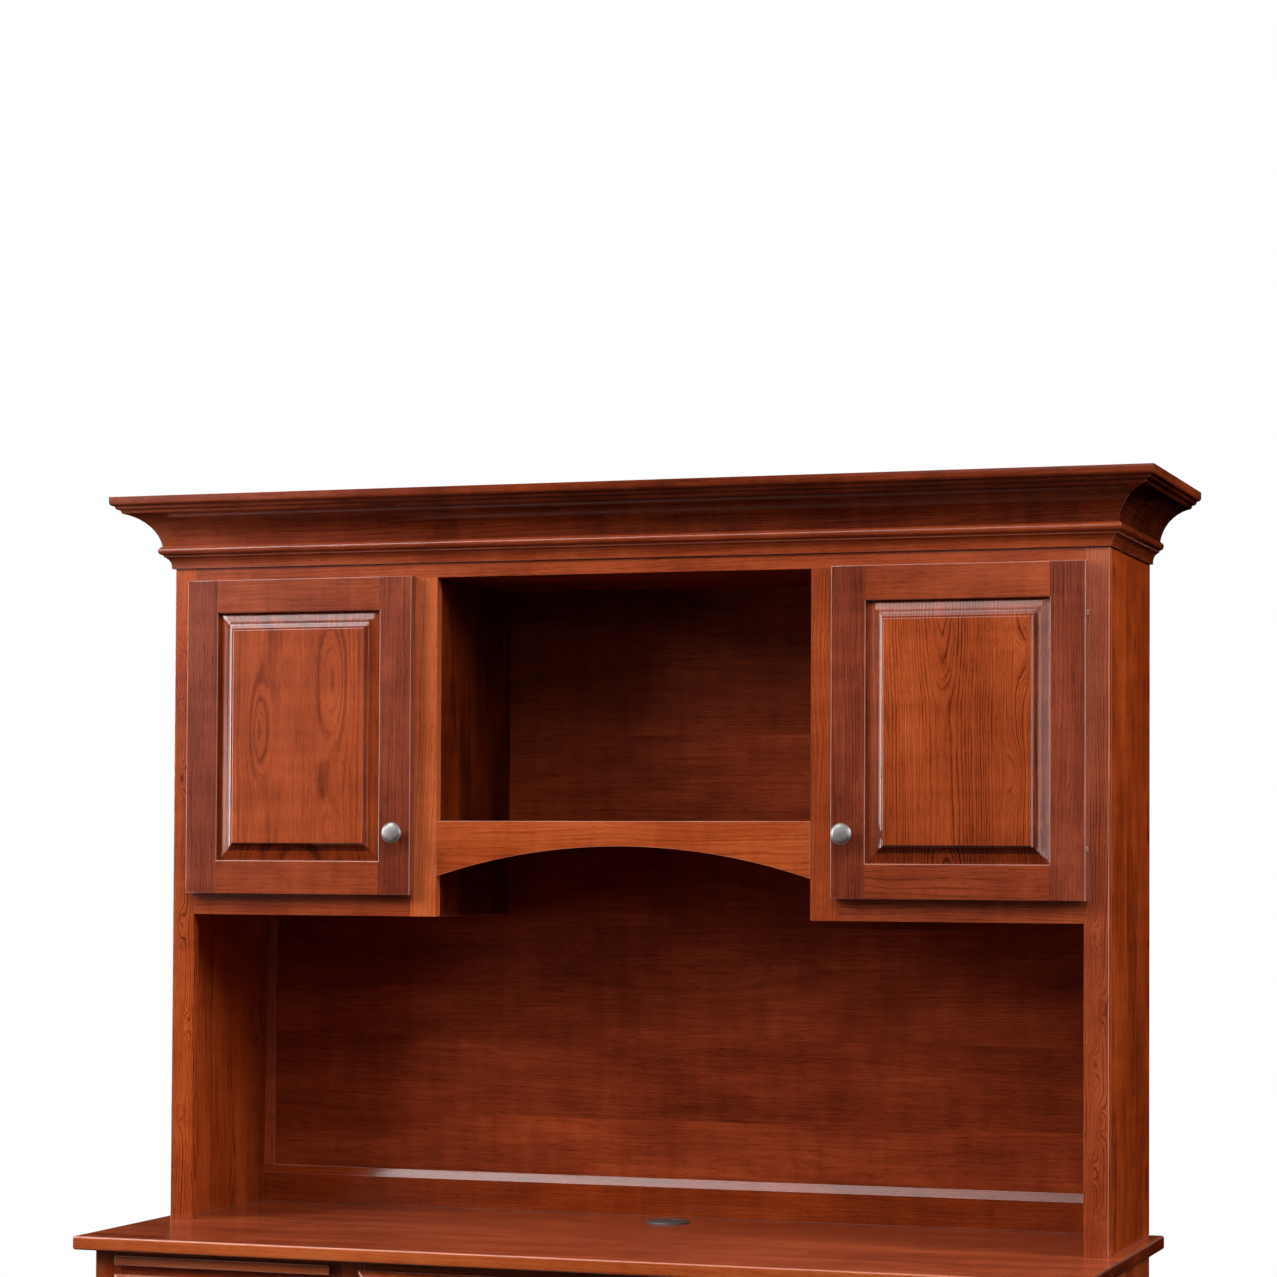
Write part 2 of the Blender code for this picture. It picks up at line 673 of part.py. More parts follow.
def build_hutch_case():
    frame = box(
        "hutch_face_frame",
        (-HALF_WIDTH, HUTCH_FACE, HUTCH_FLOOR),
        (HALF_WIDTH, HUTCH_FACE + FRAME_THICK, CASE_TOP),
        "cherry",
    )
    ahead = HUTCH_FACE - FRAME_THICK
    behind = HUTCH_FACE + 2 * FRAME_THICK
    lower_top = DESK_HEIGHT + LOWER_OPENING
    cut(
        frame,
        (END_STILE - HALF_WIDTH, ahead, HUTCH_FLOOR - FRAME_THICK),
        (HALF_WIDTH - END_STILE, behind, lower_top),
    )
    cut(frame, (-HALF_CENTER, ahead, lower_top - FRAME_THICK), (HALF_CENTER, behind, CUBBY_TOP))
    for side in (-1, 1):
        x0, x1 = mirrored(side, DOOR_INNER + OVERLAP, DOOR_OUTER - OVERLAP)
        cut(frame, (x0, ahead, CABINET_FLOOR), (x1, behind, DOOR_TOP - OVERLAP))

    half_apron = HALF_CENTER - SEAT
    rise = APRON_END - APRON_MIDDLE
    points = [(half_apron, -APRON_END), (half_apron, 0.0), (-half_apron, 0.0), (-half_apron, -APRON_END)]
    points += arc(points[-1], points[0], rise, ARCH_STEPS)[:-1]
    shape = outline(points, FRAME_THICK)
    bmesh.ops.rotate(shape, verts=shape.verts, matrix=Matrix.Rotation(math.pi / 2, 3, "X"))
    add_piece("arched_apron", shape, (0.0, HUTCH_FACE + FRAME_THICK / 2, CUBBY_FLOOR), "cherry")

    inner = SIDE_INNER - SEAT
    rear = HUTCH_BACK_FRONT - SEAT
    box("hutch_top", (-inner, HUTCH_INNER, CUBBY_TOP), (inner, rear, CUBBY_TOP + PANEL), "cherry_dark")
    box(
        "hutch_back",
        (-inner, HUTCH_BACK_FRONT, HUTCH_FLOOR),
        (inner, REAR, CASE_TOP),
        "cherry_dark",
    )
    half_shelf = HALF_CENTER - SEAT
    box(
        "center_shelf",
        (-half_shelf, HUTCH_INNER, CUBBY_FLOOR - PANEL),
        (half_shelf, rear, CUBBY_FLOOR),
        "cherry_dark",
    )
    for side, word in ((-1, "left"), (1, "right")):
        x0, x1 = mirrored(side, SIDE_INNER, HALF_WIDTH)
        box("hutch_" + word + "_side", (x0, HUTCH_INNER, HUTCH_FLOOR), (x1, REAR, CASE_TOP), "cherry")
        x0, x1 = mirrored(side, HALF_CENTER, HALF_CENTER + PANEL)
        box(
            "hutch_" + word + "_partition",
            (x0, HUTCH_INNER, lower_top),
            (x1, rear, CUBBY_TOP - SEAT),
            "cherry_dark",
        )
        x0, x1 = mirrored(side, HALF_CENTER + PANEL + SEAT, SIDE_INNER - SEAT)
        box(
            word + "_cabinet_bottom",
            (x0, HUTCH_INNER, CABINET_FLOOR - PANEL),
            (x1, rear, CABINET_FLOOR),
            "cherry_dark",
        )


def build_back_rail():
    """The chamfered rail along the foot of the hutch back, with a corner strip up each side."""
    half = SIDE_INNER - SEAT
    rear = HUTCH_BACK_FRONT - SEAT
    section = [
        (0.0, 0.0),
        (RAIL_THICK, 0.0),
        (RAIL_THICK, RAIL_HEIGHT - RAIL_CHAMFER_RISE),
        (RAIL_THICK - RAIL_CHAMFER_RUN, RAIL_HEIGHT),
        (0.0, RAIL_HEIGHT),
    ]
    shape = outline(section, 2 * half)
    ahead = Vector((0.0, -1.0, 0.0))
    up = Vector((0.0, 0.0, 1.0))
    bmesh.ops.transform(
        shape, matrix=Matrix((ahead, up, ahead.cross(up))).transposed().to_4x4(), verts=shape.verts
    )
    rail = add_piece("back_rail", shape, (0.0, rear, HUTCH_FLOOR), "cherry_dark")
    for side in (-1, 1):
        x0, x1 = mirrored(side, half - STRIP_WIDTH, half)
        join(
            rail,
            (x0, rear - STRIP_THICK, HUTCH_FLOOR + RAIL_HEIGHT - 2 * RAIL_CHAMFER_RISE),
            (x1, rear, CABINET_FLOOR - PANEL - SEAT),
        )


def build_door(side, word):
    axis = joint_empty(word + "_door_axis", (side * HINGE_X, HINGE_Y, (DOOR_BOTTOM + DOOR_TOP) / 2))
    x0, x1 = mirrored(side, DOOR_INNER, DOOR_OUTER)
    frame = box(
        word + "_door_frame", (x0, DOOR_FACE, DOOR_BOTTOM), (x1, DOOR_BACK, DOOR_TOP), "cherry", axis
    )
    sight = (x0 + DOOR_STILE, x1 - DOOR_STILE, DOOR_BOTTOM + DOOR_STILE, DOOR_TOP - DOOR_STILE)
    cut(
        frame,
        (sight[0], DOOR_FACE - DOOR_THICK, sight[2]),
        (sight[1], DOOR_BACK + DOOR_THICK, sight[3]),
    )
    groove_rear = DOOR_BACK - GROOVE_BACK
    groove_front = groove_rear - GROOVE_WIDTH
    cut(
        frame,
        (sight[0] - GROOVE_DEPTH, groove_front, sight[2] - GROOVE_DEPTH),
        (sight[1] + GROOVE_DEPTH, groove_rear, sight[3] + GROOVE_DEPTH),
    )
    tongue = GROOVE_DEPTH - SEAT
    shape, centre = cube(
        (sight[0] - tongue, groove_front + SEAT, sight[2] - tongue),
        (sight[1] + tongue, groove_rear - SEAT, sight[3] + tongue),
    )
    lead = [face for face in shape.faces if face.normal.y < -0.5]
    ramp_rise = groove_front + SEAT - SLOPE_RISE - (DOOR_FACE + FIELD_SETBACK)
    steps = [(tongue, 0.0), (SLOPE_WIDTH, SLOPE_RISE)]
    last = (0.0, 0.0)
    for point in arc(last, (RAMP_WIDTH, ramp_rise), -RAMP_HOLLOW, RAMP_STEPS):
        steps.append((point[0] - last[0], point[1] - last[1]))
        last = point
    for width, rise in steps:
        step_in(shape, lead, width, rise)
    add_piece(word + "_door_panel", shape, centre, "cherry_panel", axis)
    knob(
        word + "_door_knob",
        (side * (DOOR_INNER + KNOB_FROM_EDGE), DOOR_FACE - SEAT, DOOR_BOTTOM + KNOB_FROM_BOTTOM),
        axis,
    )
    pocket = BARREL_RADIUS + BARREL_CLEAR
    for level, height in (("lower", DOOR_BOTTOM + HINGE_FROM_END), ("upper", DOOR_TOP - HINGE_FROM_END)):
        x0, x1 = mirrored(side, HINGE_X - pocket, HINGE_X + pocket)
        reach = KNUCKLE_HEIGHT + BARREL_CLEAR
        cut(frame, (x0, HINGE_Y - pocket, height - reach), (x1, HINGE_Y + pocket, height + reach))
        build_hinge(side, word + "_" + level, height, axis)


def add_leaf(piece, side, front, levels, height):
    """Joins a leaf to a knuckle: an arm back along the door's edge, a tab behind the door and a taller plate."""
    arm_near = DOOR_OUTER + SEAT
    arm_far = arm_near + LEAF_THICK
    back = front + LEAF_THICK
    x0, x1 = mirrored(side, arm_near, arm_far)
    join(piece, (x0, HINGE_Y + PIN_RADIUS + 2 * SEAT, levels[0]), (x1, back, levels[1]))
    plate = DOOR_OUTER - LEAF_THICK
    x0, x1 = mirrored(side, plate - LEAF_WIDTH / 4, arm_far)
    join(piece, (x0, front, levels[0]), (x1, back, levels[1]))
    x0, x1 = mirrored(side, plate - LEAF_WIDTH, plate)
    half = LEAF_HEIGHT / 2
    join(piece, (x0, front, height - half), (x1, back, height + half))


def build_hinge(side, name, height, axis):
    """A lift-off hinge let into the door's edge: the lower knuckle with its pin is the case's."""
    place = (side * HINGE_X, HINGE_Y, height)
    case_profile = [
        (0.0, PIN_ENGAGE),
        (PIN_RADIUS, PIN_ENGAGE),
        (PIN_RADIUS, -SEAT),
        (BARREL_RADIUS, -SEAT),
        (BARREL_RADIUS, -KNUCKLE_HEIGHT),
        (0.0, -KNUCKLE_HEIGHT),
    ]
    case_leaf = turned(name + "_hinge_case_leaf", case_profile, HINGE_SIDES, place, "bronze")
    front = HUTCH_FACE - SEAT - LEAF_THICK
    add_leaf(case_leaf, side, front, (height - KNUCKLE_HEIGHT, height - SEAT), height)
    bore = PIN_RADIUS + SEAT
    door_profile = [
        (bore, KNUCKLE_HEIGHT),
        (BARREL_RADIUS, KNUCKLE_HEIGHT),
        (BARREL_RADIUS, 0.0),
        (bore, 0.0),
    ]
    door_leaf = turned(
        name + "_hinge_door_leaf", door_profile, HINGE_SIDES, place, "bronze", axis, ring=True
    )
    add_leaf(door_leaf, side, DOOR_BACK + SEAT, (height, height + KNUCKLE_HEIGHT), height)


def main():
    build_desktop()
    for side, word in ((-1, "left"), (1, "right")):
        build_pedestal(side, word)
        build_door(side, word)
    build_desk_middle()
    build_hutch_case()
    build_back_rail()
    build_crown()


main()
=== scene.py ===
"""Looks of the pedestal desk with hutch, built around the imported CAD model.

Each wooden piece starts as a copy of its CAD node's solid. Its arrises are rounded, it is split into the
boards it is glued up from, and every face carries its own board's grain in a mesh attribute, so that one
wood material serves all the boards.
"""

import copy
import math
import random

import bmesh
import bpy
from mathutils import Matrix, Vector


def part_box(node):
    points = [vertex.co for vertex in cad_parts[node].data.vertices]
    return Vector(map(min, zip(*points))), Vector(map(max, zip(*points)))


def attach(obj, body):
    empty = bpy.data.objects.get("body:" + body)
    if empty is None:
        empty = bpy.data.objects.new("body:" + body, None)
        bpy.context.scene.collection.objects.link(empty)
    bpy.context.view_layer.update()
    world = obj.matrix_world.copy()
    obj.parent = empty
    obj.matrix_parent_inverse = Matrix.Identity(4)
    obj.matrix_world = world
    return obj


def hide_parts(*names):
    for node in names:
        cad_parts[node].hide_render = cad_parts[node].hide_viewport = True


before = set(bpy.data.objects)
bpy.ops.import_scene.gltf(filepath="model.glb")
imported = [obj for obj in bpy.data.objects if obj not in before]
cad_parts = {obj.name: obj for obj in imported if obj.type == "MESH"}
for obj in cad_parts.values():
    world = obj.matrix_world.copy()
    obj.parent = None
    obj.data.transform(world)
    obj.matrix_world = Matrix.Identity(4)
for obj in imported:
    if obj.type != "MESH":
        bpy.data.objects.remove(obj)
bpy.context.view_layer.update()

X = Vector((1.0, 0.0, 0.0))
Y = Vector((0.0, 1.0, 0.0))
Z = Vector((0.0, 0.0, 1.0))

# How nearly the copies of the solids are cleaned, cut and picked from, and which edges are arrises
WELD = 0.00002
FLAT = math.radians(0.3)
CUT = 1e-6
TOUCH = 0.0001
SLACK = 0.001
SHARP = math.radians(40.0)

# Camera that was fitted to the photograph, in metres, degrees and shares of the picture
CAMERA_PLACE = (1.8321, -5.3274, 1.3837)
CAMERA_YAW = 18.7281
CAMERA_PITCH = 1.5499
CAMERA_ROLL = -0.2918
CAMERA_LENS = 96.17
CAMERA_SENSOR = 36.0
CAMERA_SHIFT_Y = 0.10

# Floor, soft light from above, and a wall with a flat foot that only reflections see
FLOOR_RADIUS = 4.5
FLOOR_SIDES = 96
FLOOR_GREYS = (0.76, 0.80)
FLOOR_CLOUD = 1.5
SOFT_LIGHT = 0.13
WALL_RADIUS = 6.5
WALL_HEIGHT = 8.0
WALL_SIDES = 64
WALL_AHEAD = -2.0
WALL_GLOW = 0.04
WALL_GREYS = (0.8, 1.0)
WALL_CLOUD = 0.8
FOOT_INNER = 0.5
FOOT_HEIGHT = 0.001

# Lamps: place, width and height, power, and whether reflections show it. All point at one place.
LAMP_TARGET = (0.0, 0.0, 1.2)
LAMPS = {
    "key": ((1.2, -3.3, 4.8), (3.0, 2.0), 126.0, False),
    "front": ((0.6, -4.6, 3.4), (3.0, 2.0), 24.0, True),
    "low_left": ((-4.2, -3.4, 1.0), (1.6, 1.6), 22.0, True),
    "front_left": ((-3.6, -3.0, 3.6), (2.0, 2.0), 189.0, True),
    "side_left": ((-4.6, -0.8, 2.4), (1.2, 2.4), 82.0, True),
    "side_right": ((4.8, -0.6, 3.4), (2.0, 2.0), 260.0, True),
    "rear": ((0.0, 4.6, 3.0), (3.0, 2.0), 130.0, False),
}

# Pale cards that only reflections see: two opposite corners of each, and how bright it is at its two ends, or
# in its middle and at a reach from there
CARD_GREYS = (0.9, 1.0)
CARDS = {
    "card_left": ((-5.0, -3.6, 0.8), (-5.0, 0.8, 2.8), (6.0, 6.0), None),
    "card_right": ((5.0, -2.6, 0.8), (5.0, -0.6, 2.8), (4.0, 4.0), None),
    "card_front": ((1.2, -6.2, 0.6), (3.0, -6.2, 2.6), (5.0, 5.0), None),
    "card_top": ((-3.3, -4.6, 5.5), (0.5, -0.4, 5.5), (10.0, 0.5), None),
    "card_high": ((-3.7, -5.3, 4.6), (-0.3, -5.3, 5.6), (16.0, 6.0), None),
    "card_haze": ((-4.7, -4.2, 0.85), (-1.7, -4.2, 3.85), (1.0, 0.0), 1.5),
}

# Stain of single boards: how pale it is, how strongly the rings show, and how cool it is
BOARD_STAINS = {
    "end stile left": (0.05, 1.00, 0.0),
    "end stile right": (0.07, 0.90, 0.35),
    "center stile left": (0.34, 0.50, 0.2),
    "center stile right": (0.05, 0.55, 0.2),
    "cabinet rail left": (-0.02, 0.35, 0.3),
    "cabinet rail right": (0.045, 0.40, 0.5),
    "top rail": (0.005, 0.35, 0.3),
    "arched_apron": (0.18, 0.45, 0.1),
    "left door left stile": (-0.085, 0.45, 0.8),
    "left door right stile": (-0.145, 0.45, 0.8),
    "left door top rail": (-0.045, 0.25, 0.5),
    "left door bottom rail": (-0.025, 0.25, 0.4),
    "right door left stile": (-0.115, 0.40, 0.8),
    "right door right stile": (-0.12, 0.45, 0.9),
    "right door top rail": (0.00, 0.30, 0.4),
    "right door bottom rail": (-0.06, 0.50, 0.5),
    "left raised panel": (0.08, 0.60, 0.15),
    "right raised panel": (0.08, 1.10, 0.15),
    "back rail": (-0.16, 0.25, 0.0),
    "desktop edge": (0.26, 0.25, 0.0),
}

# Growth of some of them. rings is how many there are to a metre, and wander how far they stray. heart and
# depth are how far the tree's heart lies aside and below the face, and taper is where it starts to draw near
# and how fast. drift is where the stain starts and ends to change, and by how much tone and plum. Each swell
# is a place along and across the board where the rings bulge, with its length, width and height.
BOARD_GROWTH = {
    "end stile left": {
        "rings": 260.0,
        "wander": 0.5,
        "swells": (
            (0.417, -0.008, 0.030, 0.009, 0.016),
            (0.300, -0.012, 0.020, 0.007, 0.010),
            (0.173, -0.008, 0.026, 0.009, 0.016),
            (0.020, 0.004, 0.020, 0.007, 0.012),
            (-0.081, -0.006, 0.030, 0.009, 0.016),
            (-0.250, 0.004, 0.022, 0.008, 0.014),
            (-0.400, -0.006, 0.028, 0.009, 0.014),
        ),
    },
    "end stile right": {
        "rings": 240.0,
        "wander": 0.6,
        "drift": (-0.25, 0.35, 0.10, 0.65),
        "swells": (
            (-0.540, 0.004, 0.030, 0.009, 0.016),
            (-0.450, -0.006, 0.024, 0.008, 0.014),
            (-0.370, 0.006, 0.030, 0.009, 0.016),
            (-0.280, -0.004, 0.022, 0.008, 0.014),
            (-0.190, 0.005, 0.030, 0.009, 0.014),
            (-0.080, -0.006, 0.026, 0.008, 0.012),
        ),
    },
    "right door bottom rail": {"rings": 180.0},
    "left raised panel": {
        "rings": 70.0,
        "wander": 0.25,
        "heart": 0.0,
        "depth": 0.157,
        "swells": (
            (0.012, -0.072, 0.075, 0.017, -0.034),
            (0.095, 0.066, 0.095, 0.023, -0.040),
            (-0.155, 0.060, 0.040, 0.014, -0.022),
        ),
    },
    "right raised panel": {
        "rings": 225.0,
        "wander": 0.22,
        "heart": -0.021,
        "depth": 0.025,
        "taper": (0.045, -0.13),
        "swells": (
            (-0.067, 0.095, 0.045, 0.013, -0.020),
            (0.120, 0.112, 0.060, 0.012, -0.018),
        ),
    },
}

# How the other boards vary, by chance
LOG_LENGTH = 60.0
HEART_ASIDE = (0.05, 0.12)
HEART_BELOW = (0.02, 0.06)
HEART_NEAR = 0.001
LEAN = (-0.02, 0.02)
TONE_SPREAD = (-0.05, 0.05)
RINGS = 170.0
RING_SPREAD = (0.85, 1.15)
STAVE_SHIFT = (-0.22, 0.22)
STAVE_HEART = (-0.7, 0.7)
STAVE_DEPTH = (0.025, 0.08)

# About how wide the staves of the glued-up panels are
HUTCH_STAVE = 0.11
HUTCH_BACK_STAVE = 0.16
BASE_STAVE = 0.12
DESK_BACK_STAVE = 0.18
DESKTOP_STAVE = 0.125

# Radii of the arrises, how strongly some are worn and carry a painted highlight, and how sharp they are at
# least
ARRIS = 0.0009
APRON_ARRIS = 0.0011
BACK_ARRIS = 0.0005
BACK_RAIL_ARRIS = 0.0008
BACK_RAIL_SHARP = math.radians(25.0)
CROWN_ARRIS = 0.0006
DESKTOP_ARRIS = 0.0040
DOOR_BACK_ARRIS = 0.0006
DOOR_INNER_ARRIS = 0.0020
DOOR_OUTER_ARRIS = 0.0018
DRAWER_ARRIS = 0.0008
FRONT_ARRIS = 0.0012
FRONT_SHARP = math.radians(20.0)
CASE_ARRIS = 0.0010
FRAME_ARRIS = 0.0012
FRAME_CORNER = 0.0016
FRAME_WEAR_AND_SHEEN = 0.5
HARDWARE_ARRIS = 0.0003
PANEL_ARRIS = 0.0010
PANEL_SHARP = math.radians(10.0)
PLINTH_ARRIS = 0.0015
SLIDE_ARRIS = 0.0024
TOP_WEAR_AND_SHEEN = 1.9

# Hutch frame: where its boards part, the middles of some, and how finely it is cut for the figure
HUTCH_FACE = -0.0186
END_STILE_INNER = 0.7728
CENTER_STILE = (0.3260, 0.3710)
CENTER_MIDDLE = 1.57
CABINET_MIDDLE = 0.57
CABINET_RAIL = 1.305
RAILS_BELOW = 1.5
TOP_RAIL_BOTTOM = 1.8541
TOP_RAIL_MIDDLE = 1.88
STEP_ALONG = 0.012
STILE_STEP = 0.004

# Tones of the hutch's panels
SIDE_TONES = {"left": 0.06, "right": -0.12}
INSIDE_TONE = -0.05

# Back rail and the strips up the rear corners, whose arrises are hardly worn and carry little painted
# highlight
BACK_RAIL_TOP = 0.8278
BACK_RAIL_MIDDLE = 0.03
STRIP_INNER = 0.7735
STRIP_MIDDLE = 1.0
STRIP_FOOT = 0.002
STRIP_WORN_AND_SHEEN = 0.15

# Crown: heights of its neck and fascia, their tones with painted shade on the cove, and a painted sheen that
# grows along the front towards its left end
CROWN_NECK = 0.0360
CROWN_FASCIA = 0.0150
CROWN_TONES = {"front": 0.02, "left": 0.02, "right": -0.30}
COVE_PAINTED_SHADE = 0.26
FASCIA_TONE = -0.20
CROWN_STEP = 0.10
CROWN_SHEEN_SPAN = (-0.25, -0.95)
CROWN_SHEEN_TONES = (0.04, 0.42, 0.12)
CROWN_SHEEN_PLUM = 0.7

# Doors: width of the frame, and the panel's rim, which is shallower than in the solid and darker from pooled
# stain and painted shade, darkest along its foot from painted shade
DOOR_STILE = 0.0570
PANEL_RIM = 0.0395
PANEL_STEP = 0.008
RIM_SOLID = 0.0091
RIM_SHARE = 0.72
RAMP_RISE = 0.0063
FIELD_DEPTH = 0.0002
RIM_STAIN_AND_SHADE = {"ramp": 0.20, "slope": 0.12, "lower ramp": 0.50, "lower slope": 0.24}

# Knob: a slightly domed face, a rounded rim, and points of radius and reach between and below them
KNOB_SIDES = 48
KNOB_FACE_STEPS = 8
KNOB_FACE_RADIUS = 0.0120
KNOB_REACH = 0.0280
KNOB_DOME = 0.0010
KNOB_RIM_STEPS = 6
KNOB_RIM_MIDDLE = (0.0153, 0.0218)
KNOB_RIM_RADIUS = 0.0022
KNOB_RIM_START = 50
KNOB_RIM_TURN = 140
KNOB_SHOULDER = (
    (0.0122, 0.0268), (0.0124, 0.0265), (0.0127, 0.0264),
    (0.0140, 0.0255), (0.0153, 0.0245), (0.0163, 0.0235),
)
KNOB_STEM = (
    (0.0118, 0.0178), (0.0088, 0.0160), (0.0072, 0.0135), (0.0068, 0.0100), (0.0070, 0.0065),
    (0.0080, 0.0040), (0.0094, 0.0026), (0.0099, 0.0022), (0.0100, 0.0016), (0.0100, 0.0000),
    (0.0, 0.0),
)

# Desktop and writing slides: how deep their edges and end grain go, and the slides' drift
EDGE_DEPTH = 0.0012
END_DEPTH = 0.0025
END_ARRIS = 0.0045
END_WORN_AND_SHEEN = 0.2
SLIDE_STEP = 0.05
SLIDE_DRIFT = (-0.12, 0.10, 0.06, -0.6)

# Pedestals: where the boards part, and the middles of some
BASE_FACE = -0.2884
FRAME_THICK = 0.0190
FRONT_GAP = 0.0003
BOX_SIDE = 0.03
BOX_FLOOR = 0.04
PEDESTAL_STILES = (0.3960, 0.7670)
PEDESTAL_MIDDLE = 0.4
PEDESTAL_RAILS = (0.05, 0.36, 0.52, 0.70, 0.735)
PLINTH_THICK = 0.0123


class Board:
    """How one board was sawn: the way its grain runs, and where the tree's heart lay from its middle."""

    def __init__(self, key, middle, along, face, tone=0.0, figure=0.45, plum=0.3, heart=None, depth=None):
        draw = random.Random(key)
        paler, self.figure, self.plum = BOARD_STAINS.get(key, (0.0, figure, plum))
        growth = BOARD_GROWTH.get(key, {})
        self.middle = Vector(middle)
        self.along = along
        self.face = face
        self.across = along.cross(face)
        self.start = draw.uniform(0.0, LOG_LENGTH)
        aside = draw.choice((-1, 1)) * draw.uniform(*HEART_ASIDE)
        below = draw.uniform(*HEART_BELOW)
        self.lean = draw.uniform(*LEAN)
        self.tone = tone + paler + draw.uniform(*TONE_SPREAD)
        ring_share = draw.uniform(*RING_SPREAD)
        self.heart = growth.get("heart", aside if heart is None else heart)
        self.depth = growth.get("depth", below if depth is None else depth)
        self.rings = growth.get("rings", RINGS * ring_share)
        self.wander = growth.get("wander", 1.0)
        self.taper_start, self.taper = growth.get("taper", (0.0, 0.0))
        self.swells = growth.get("swells", ())
        self.drift = growth.get("drift", (0.0, 1.0, 0.0, 0.0))

    def stain_and_painted_light(self, point):
        """Tone and plum at a point, where they drift from one end of the board to the other."""
        start, end, tone, plum = self.drift
        run = (point - self.middle).dot(self.along)
        share = min(1.0, max(0.0, (run - start) / (end - start)))
        return (self.tone + tone * share, self.plum + plum * share)

    def grain(self, point):
        """A point as the wood sees it: along the grain, and the two ways out from the heart."""
        away = point - self.middle
        run = away.dot(self.along)
        aside = away.dot(self.across)
        across = aside - self.heart + self.lean * run
        deep = away.dot(self.face) + self.depth + self.taper * max(0.0, run - self.taper_start)
        bulge = 0.0
        for place, offset, length, width, height in self.swells:
            bulge += height * math.exp(-(((run - place) / length) ** 2) - ((aside - offset) / width) ** 2)
        stretch = 1.0 + bulge / max(math.hypot(across, deep), HEART_NEAR)
        return (run + self.start, across * stretch, deep * stretch)


class Piece:
    """A mesh that is put together from shapes, with the grain, and the stain and painted light, of each
    face's board.
    """

    def __init__(self, name):
        self.name = name
        self.points = []
        self.faces = []
        self.grain = []
        self.stain_and_painted_light = []
        self.growth = []
        self.kinds = []
        self.materials = []

    def take(self, shape, choose, material=None):
        """Adds a shape, of cherry if nothing is given, and frees it. choose finds a face's board."""
        material = material or CHERRY
        if material not in self.materials:
            self.materials.append(material)
        kind = self.materials.index(material)
        first = len(self.points)
        worn_and_sheen = shape.verts.layers.float["worn_and_sheen"]
        rounded = shape.faces.layers.int["rounded"]
        shape.verts.index_update()
        self.points += [vert.co.to_tuple() for vert in shape.verts]
        for face in shape.faces:
            board = choose if isinstance(choose, Board) else choose(face.calc_center_median())
            self.faces.append([first + vert.index for vert in face.verts])
            self.kinds.append(kind)
            for vert in face.verts:
                self.grain += board.grain(vert.co)
                self.stain_and_painted_light += (*board.stain_and_painted_light(vert.co), vert[worn_and_sheen] if face[rounded] else 0.0)
                self.growth += (board.rings, board.figure, board.wander)
        shape.free()
        return self

    def place(self, node, slot="cherry", body="carcass"):
        mesh = bpy.data.meshes.new(self.name)
        mesh.from_pydata(self.points, [], self.faces)
        for name, values in (("grain", self.grain), ("stain_and_painted_light", self.stain_and_painted_light), ("growth", self.growth)):
            made = mesh.attributes.new(name, "FLOAT_VECTOR", "CORNER")
            made.data.foreach_set("vector", values)
        for material in self.materials:
            mesh.materials.append(material)
        mesh.polygons.foreach_set("material_index", self.kinds)
        put(self.name, mesh, body, [node])


def put(name, mesh, body, nodes):
    """Makes an object of a finished mesh, with smooth arrises, that stands for its CAD nodes."""
    mesh.polygons.foreach_set("use_smooth", [True] * len(mesh.polygons))
    mesh.set_sharp_from_angle(angle=SHARP)
    made = bpy.data.objects.new(name, mesh)
    bpy.context.scene.collection.objects.link(made)
    even = made.modifiers.new("even", "WEIGHTED_NORMAL")
    even.keep_sharp = True
    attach(made, body)
    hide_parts(*nodes)


def solid(node):
    """A copy of a CAD node's solid, with its corners welded and its flat faces joined."""
    shape = bmesh.new()
    shape.from_mesh(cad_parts[node].data)
    bmesh.ops.remove_doubles(shape, verts=shape.verts, dist=WELD)
    bmesh.ops.dissolve_limit(shape, angle_limit=FLAT, verts=shape.verts, edges=shape.edges)
    bmesh.ops.recalc_face_normals(shape, faces=shape.faces)
    shape.verts.layers.float.new("worn_and_sheen")
    shape.faces.layers.int.new("rounded")
    return shape


def ease(shape, radius, segments=2, where=None, sharper=SHARP, wear_and_sheen=1.0):
    """Rounds the outer arrises that where picks by their two ends, and marks the middle of each as worn,
    which also paints a highlight there.
    """
    chosen = []
    for edge in shape.edges:
        if len(edge.link_faces) != 2 or not edge.is_convex or edge.calc_face_angle() < sharper:
            continue
        if where is None or all(where(vert.co) for vert in edge.verts):
            chosen.append(edge)
    form = {"offset": radius, "segments": segments, "profile": 0.5, "affect": "EDGES"}
    made = bmesh.ops.bevel(shape, geom=chosen, clamp_overlap=True, loop_slide=True, **form)
    shape.normal_update()
    worn_and_sheen = shape.verts.layers.float["worn_and_sheen"]
    rounded = shape.faces.layers.int["rounded"]
    for face in made["faces"]:
        face[rounded] = 1
    for vert in {vert for face in made["faces"] for vert in face.verts}:
        parts = sorted(abs(part) for part in vert.normal)
        tilt = math.atan2(parts[1], parts[2]) / (math.pi / 4)
        vert[worn_and_sheen] = max(vert[worn_and_sheen], wear_and_sheen * tilt * tilt)
    return shape


def mesh_of(shape, name):
    mesh = bpy.data.meshes.new(name)
    shape.to_mesh(mesh)
    shape.free()
    return mesh


def split(shape, axis, *places):
    """Cuts the faces along planes across an axis, where one board meets the next."""
    for place in places:
        everything = shape.verts[:] + shape.edges[:] + shape.faces[:]
        bmesh.ops.bisect_plane(shape, geom=everything, plane_co=axis * place, plane_no=axis, dist=CUT)


def steps(low, high, spacing):
    """Places from low to high, about a spacing apart and without the two ends."""
    count = max(2, round((high - low) / spacing))
    return [low + (high - low) * i / count for i in range(1, count)]


def at(value, level):
    return abs(value - level) < TOUCH


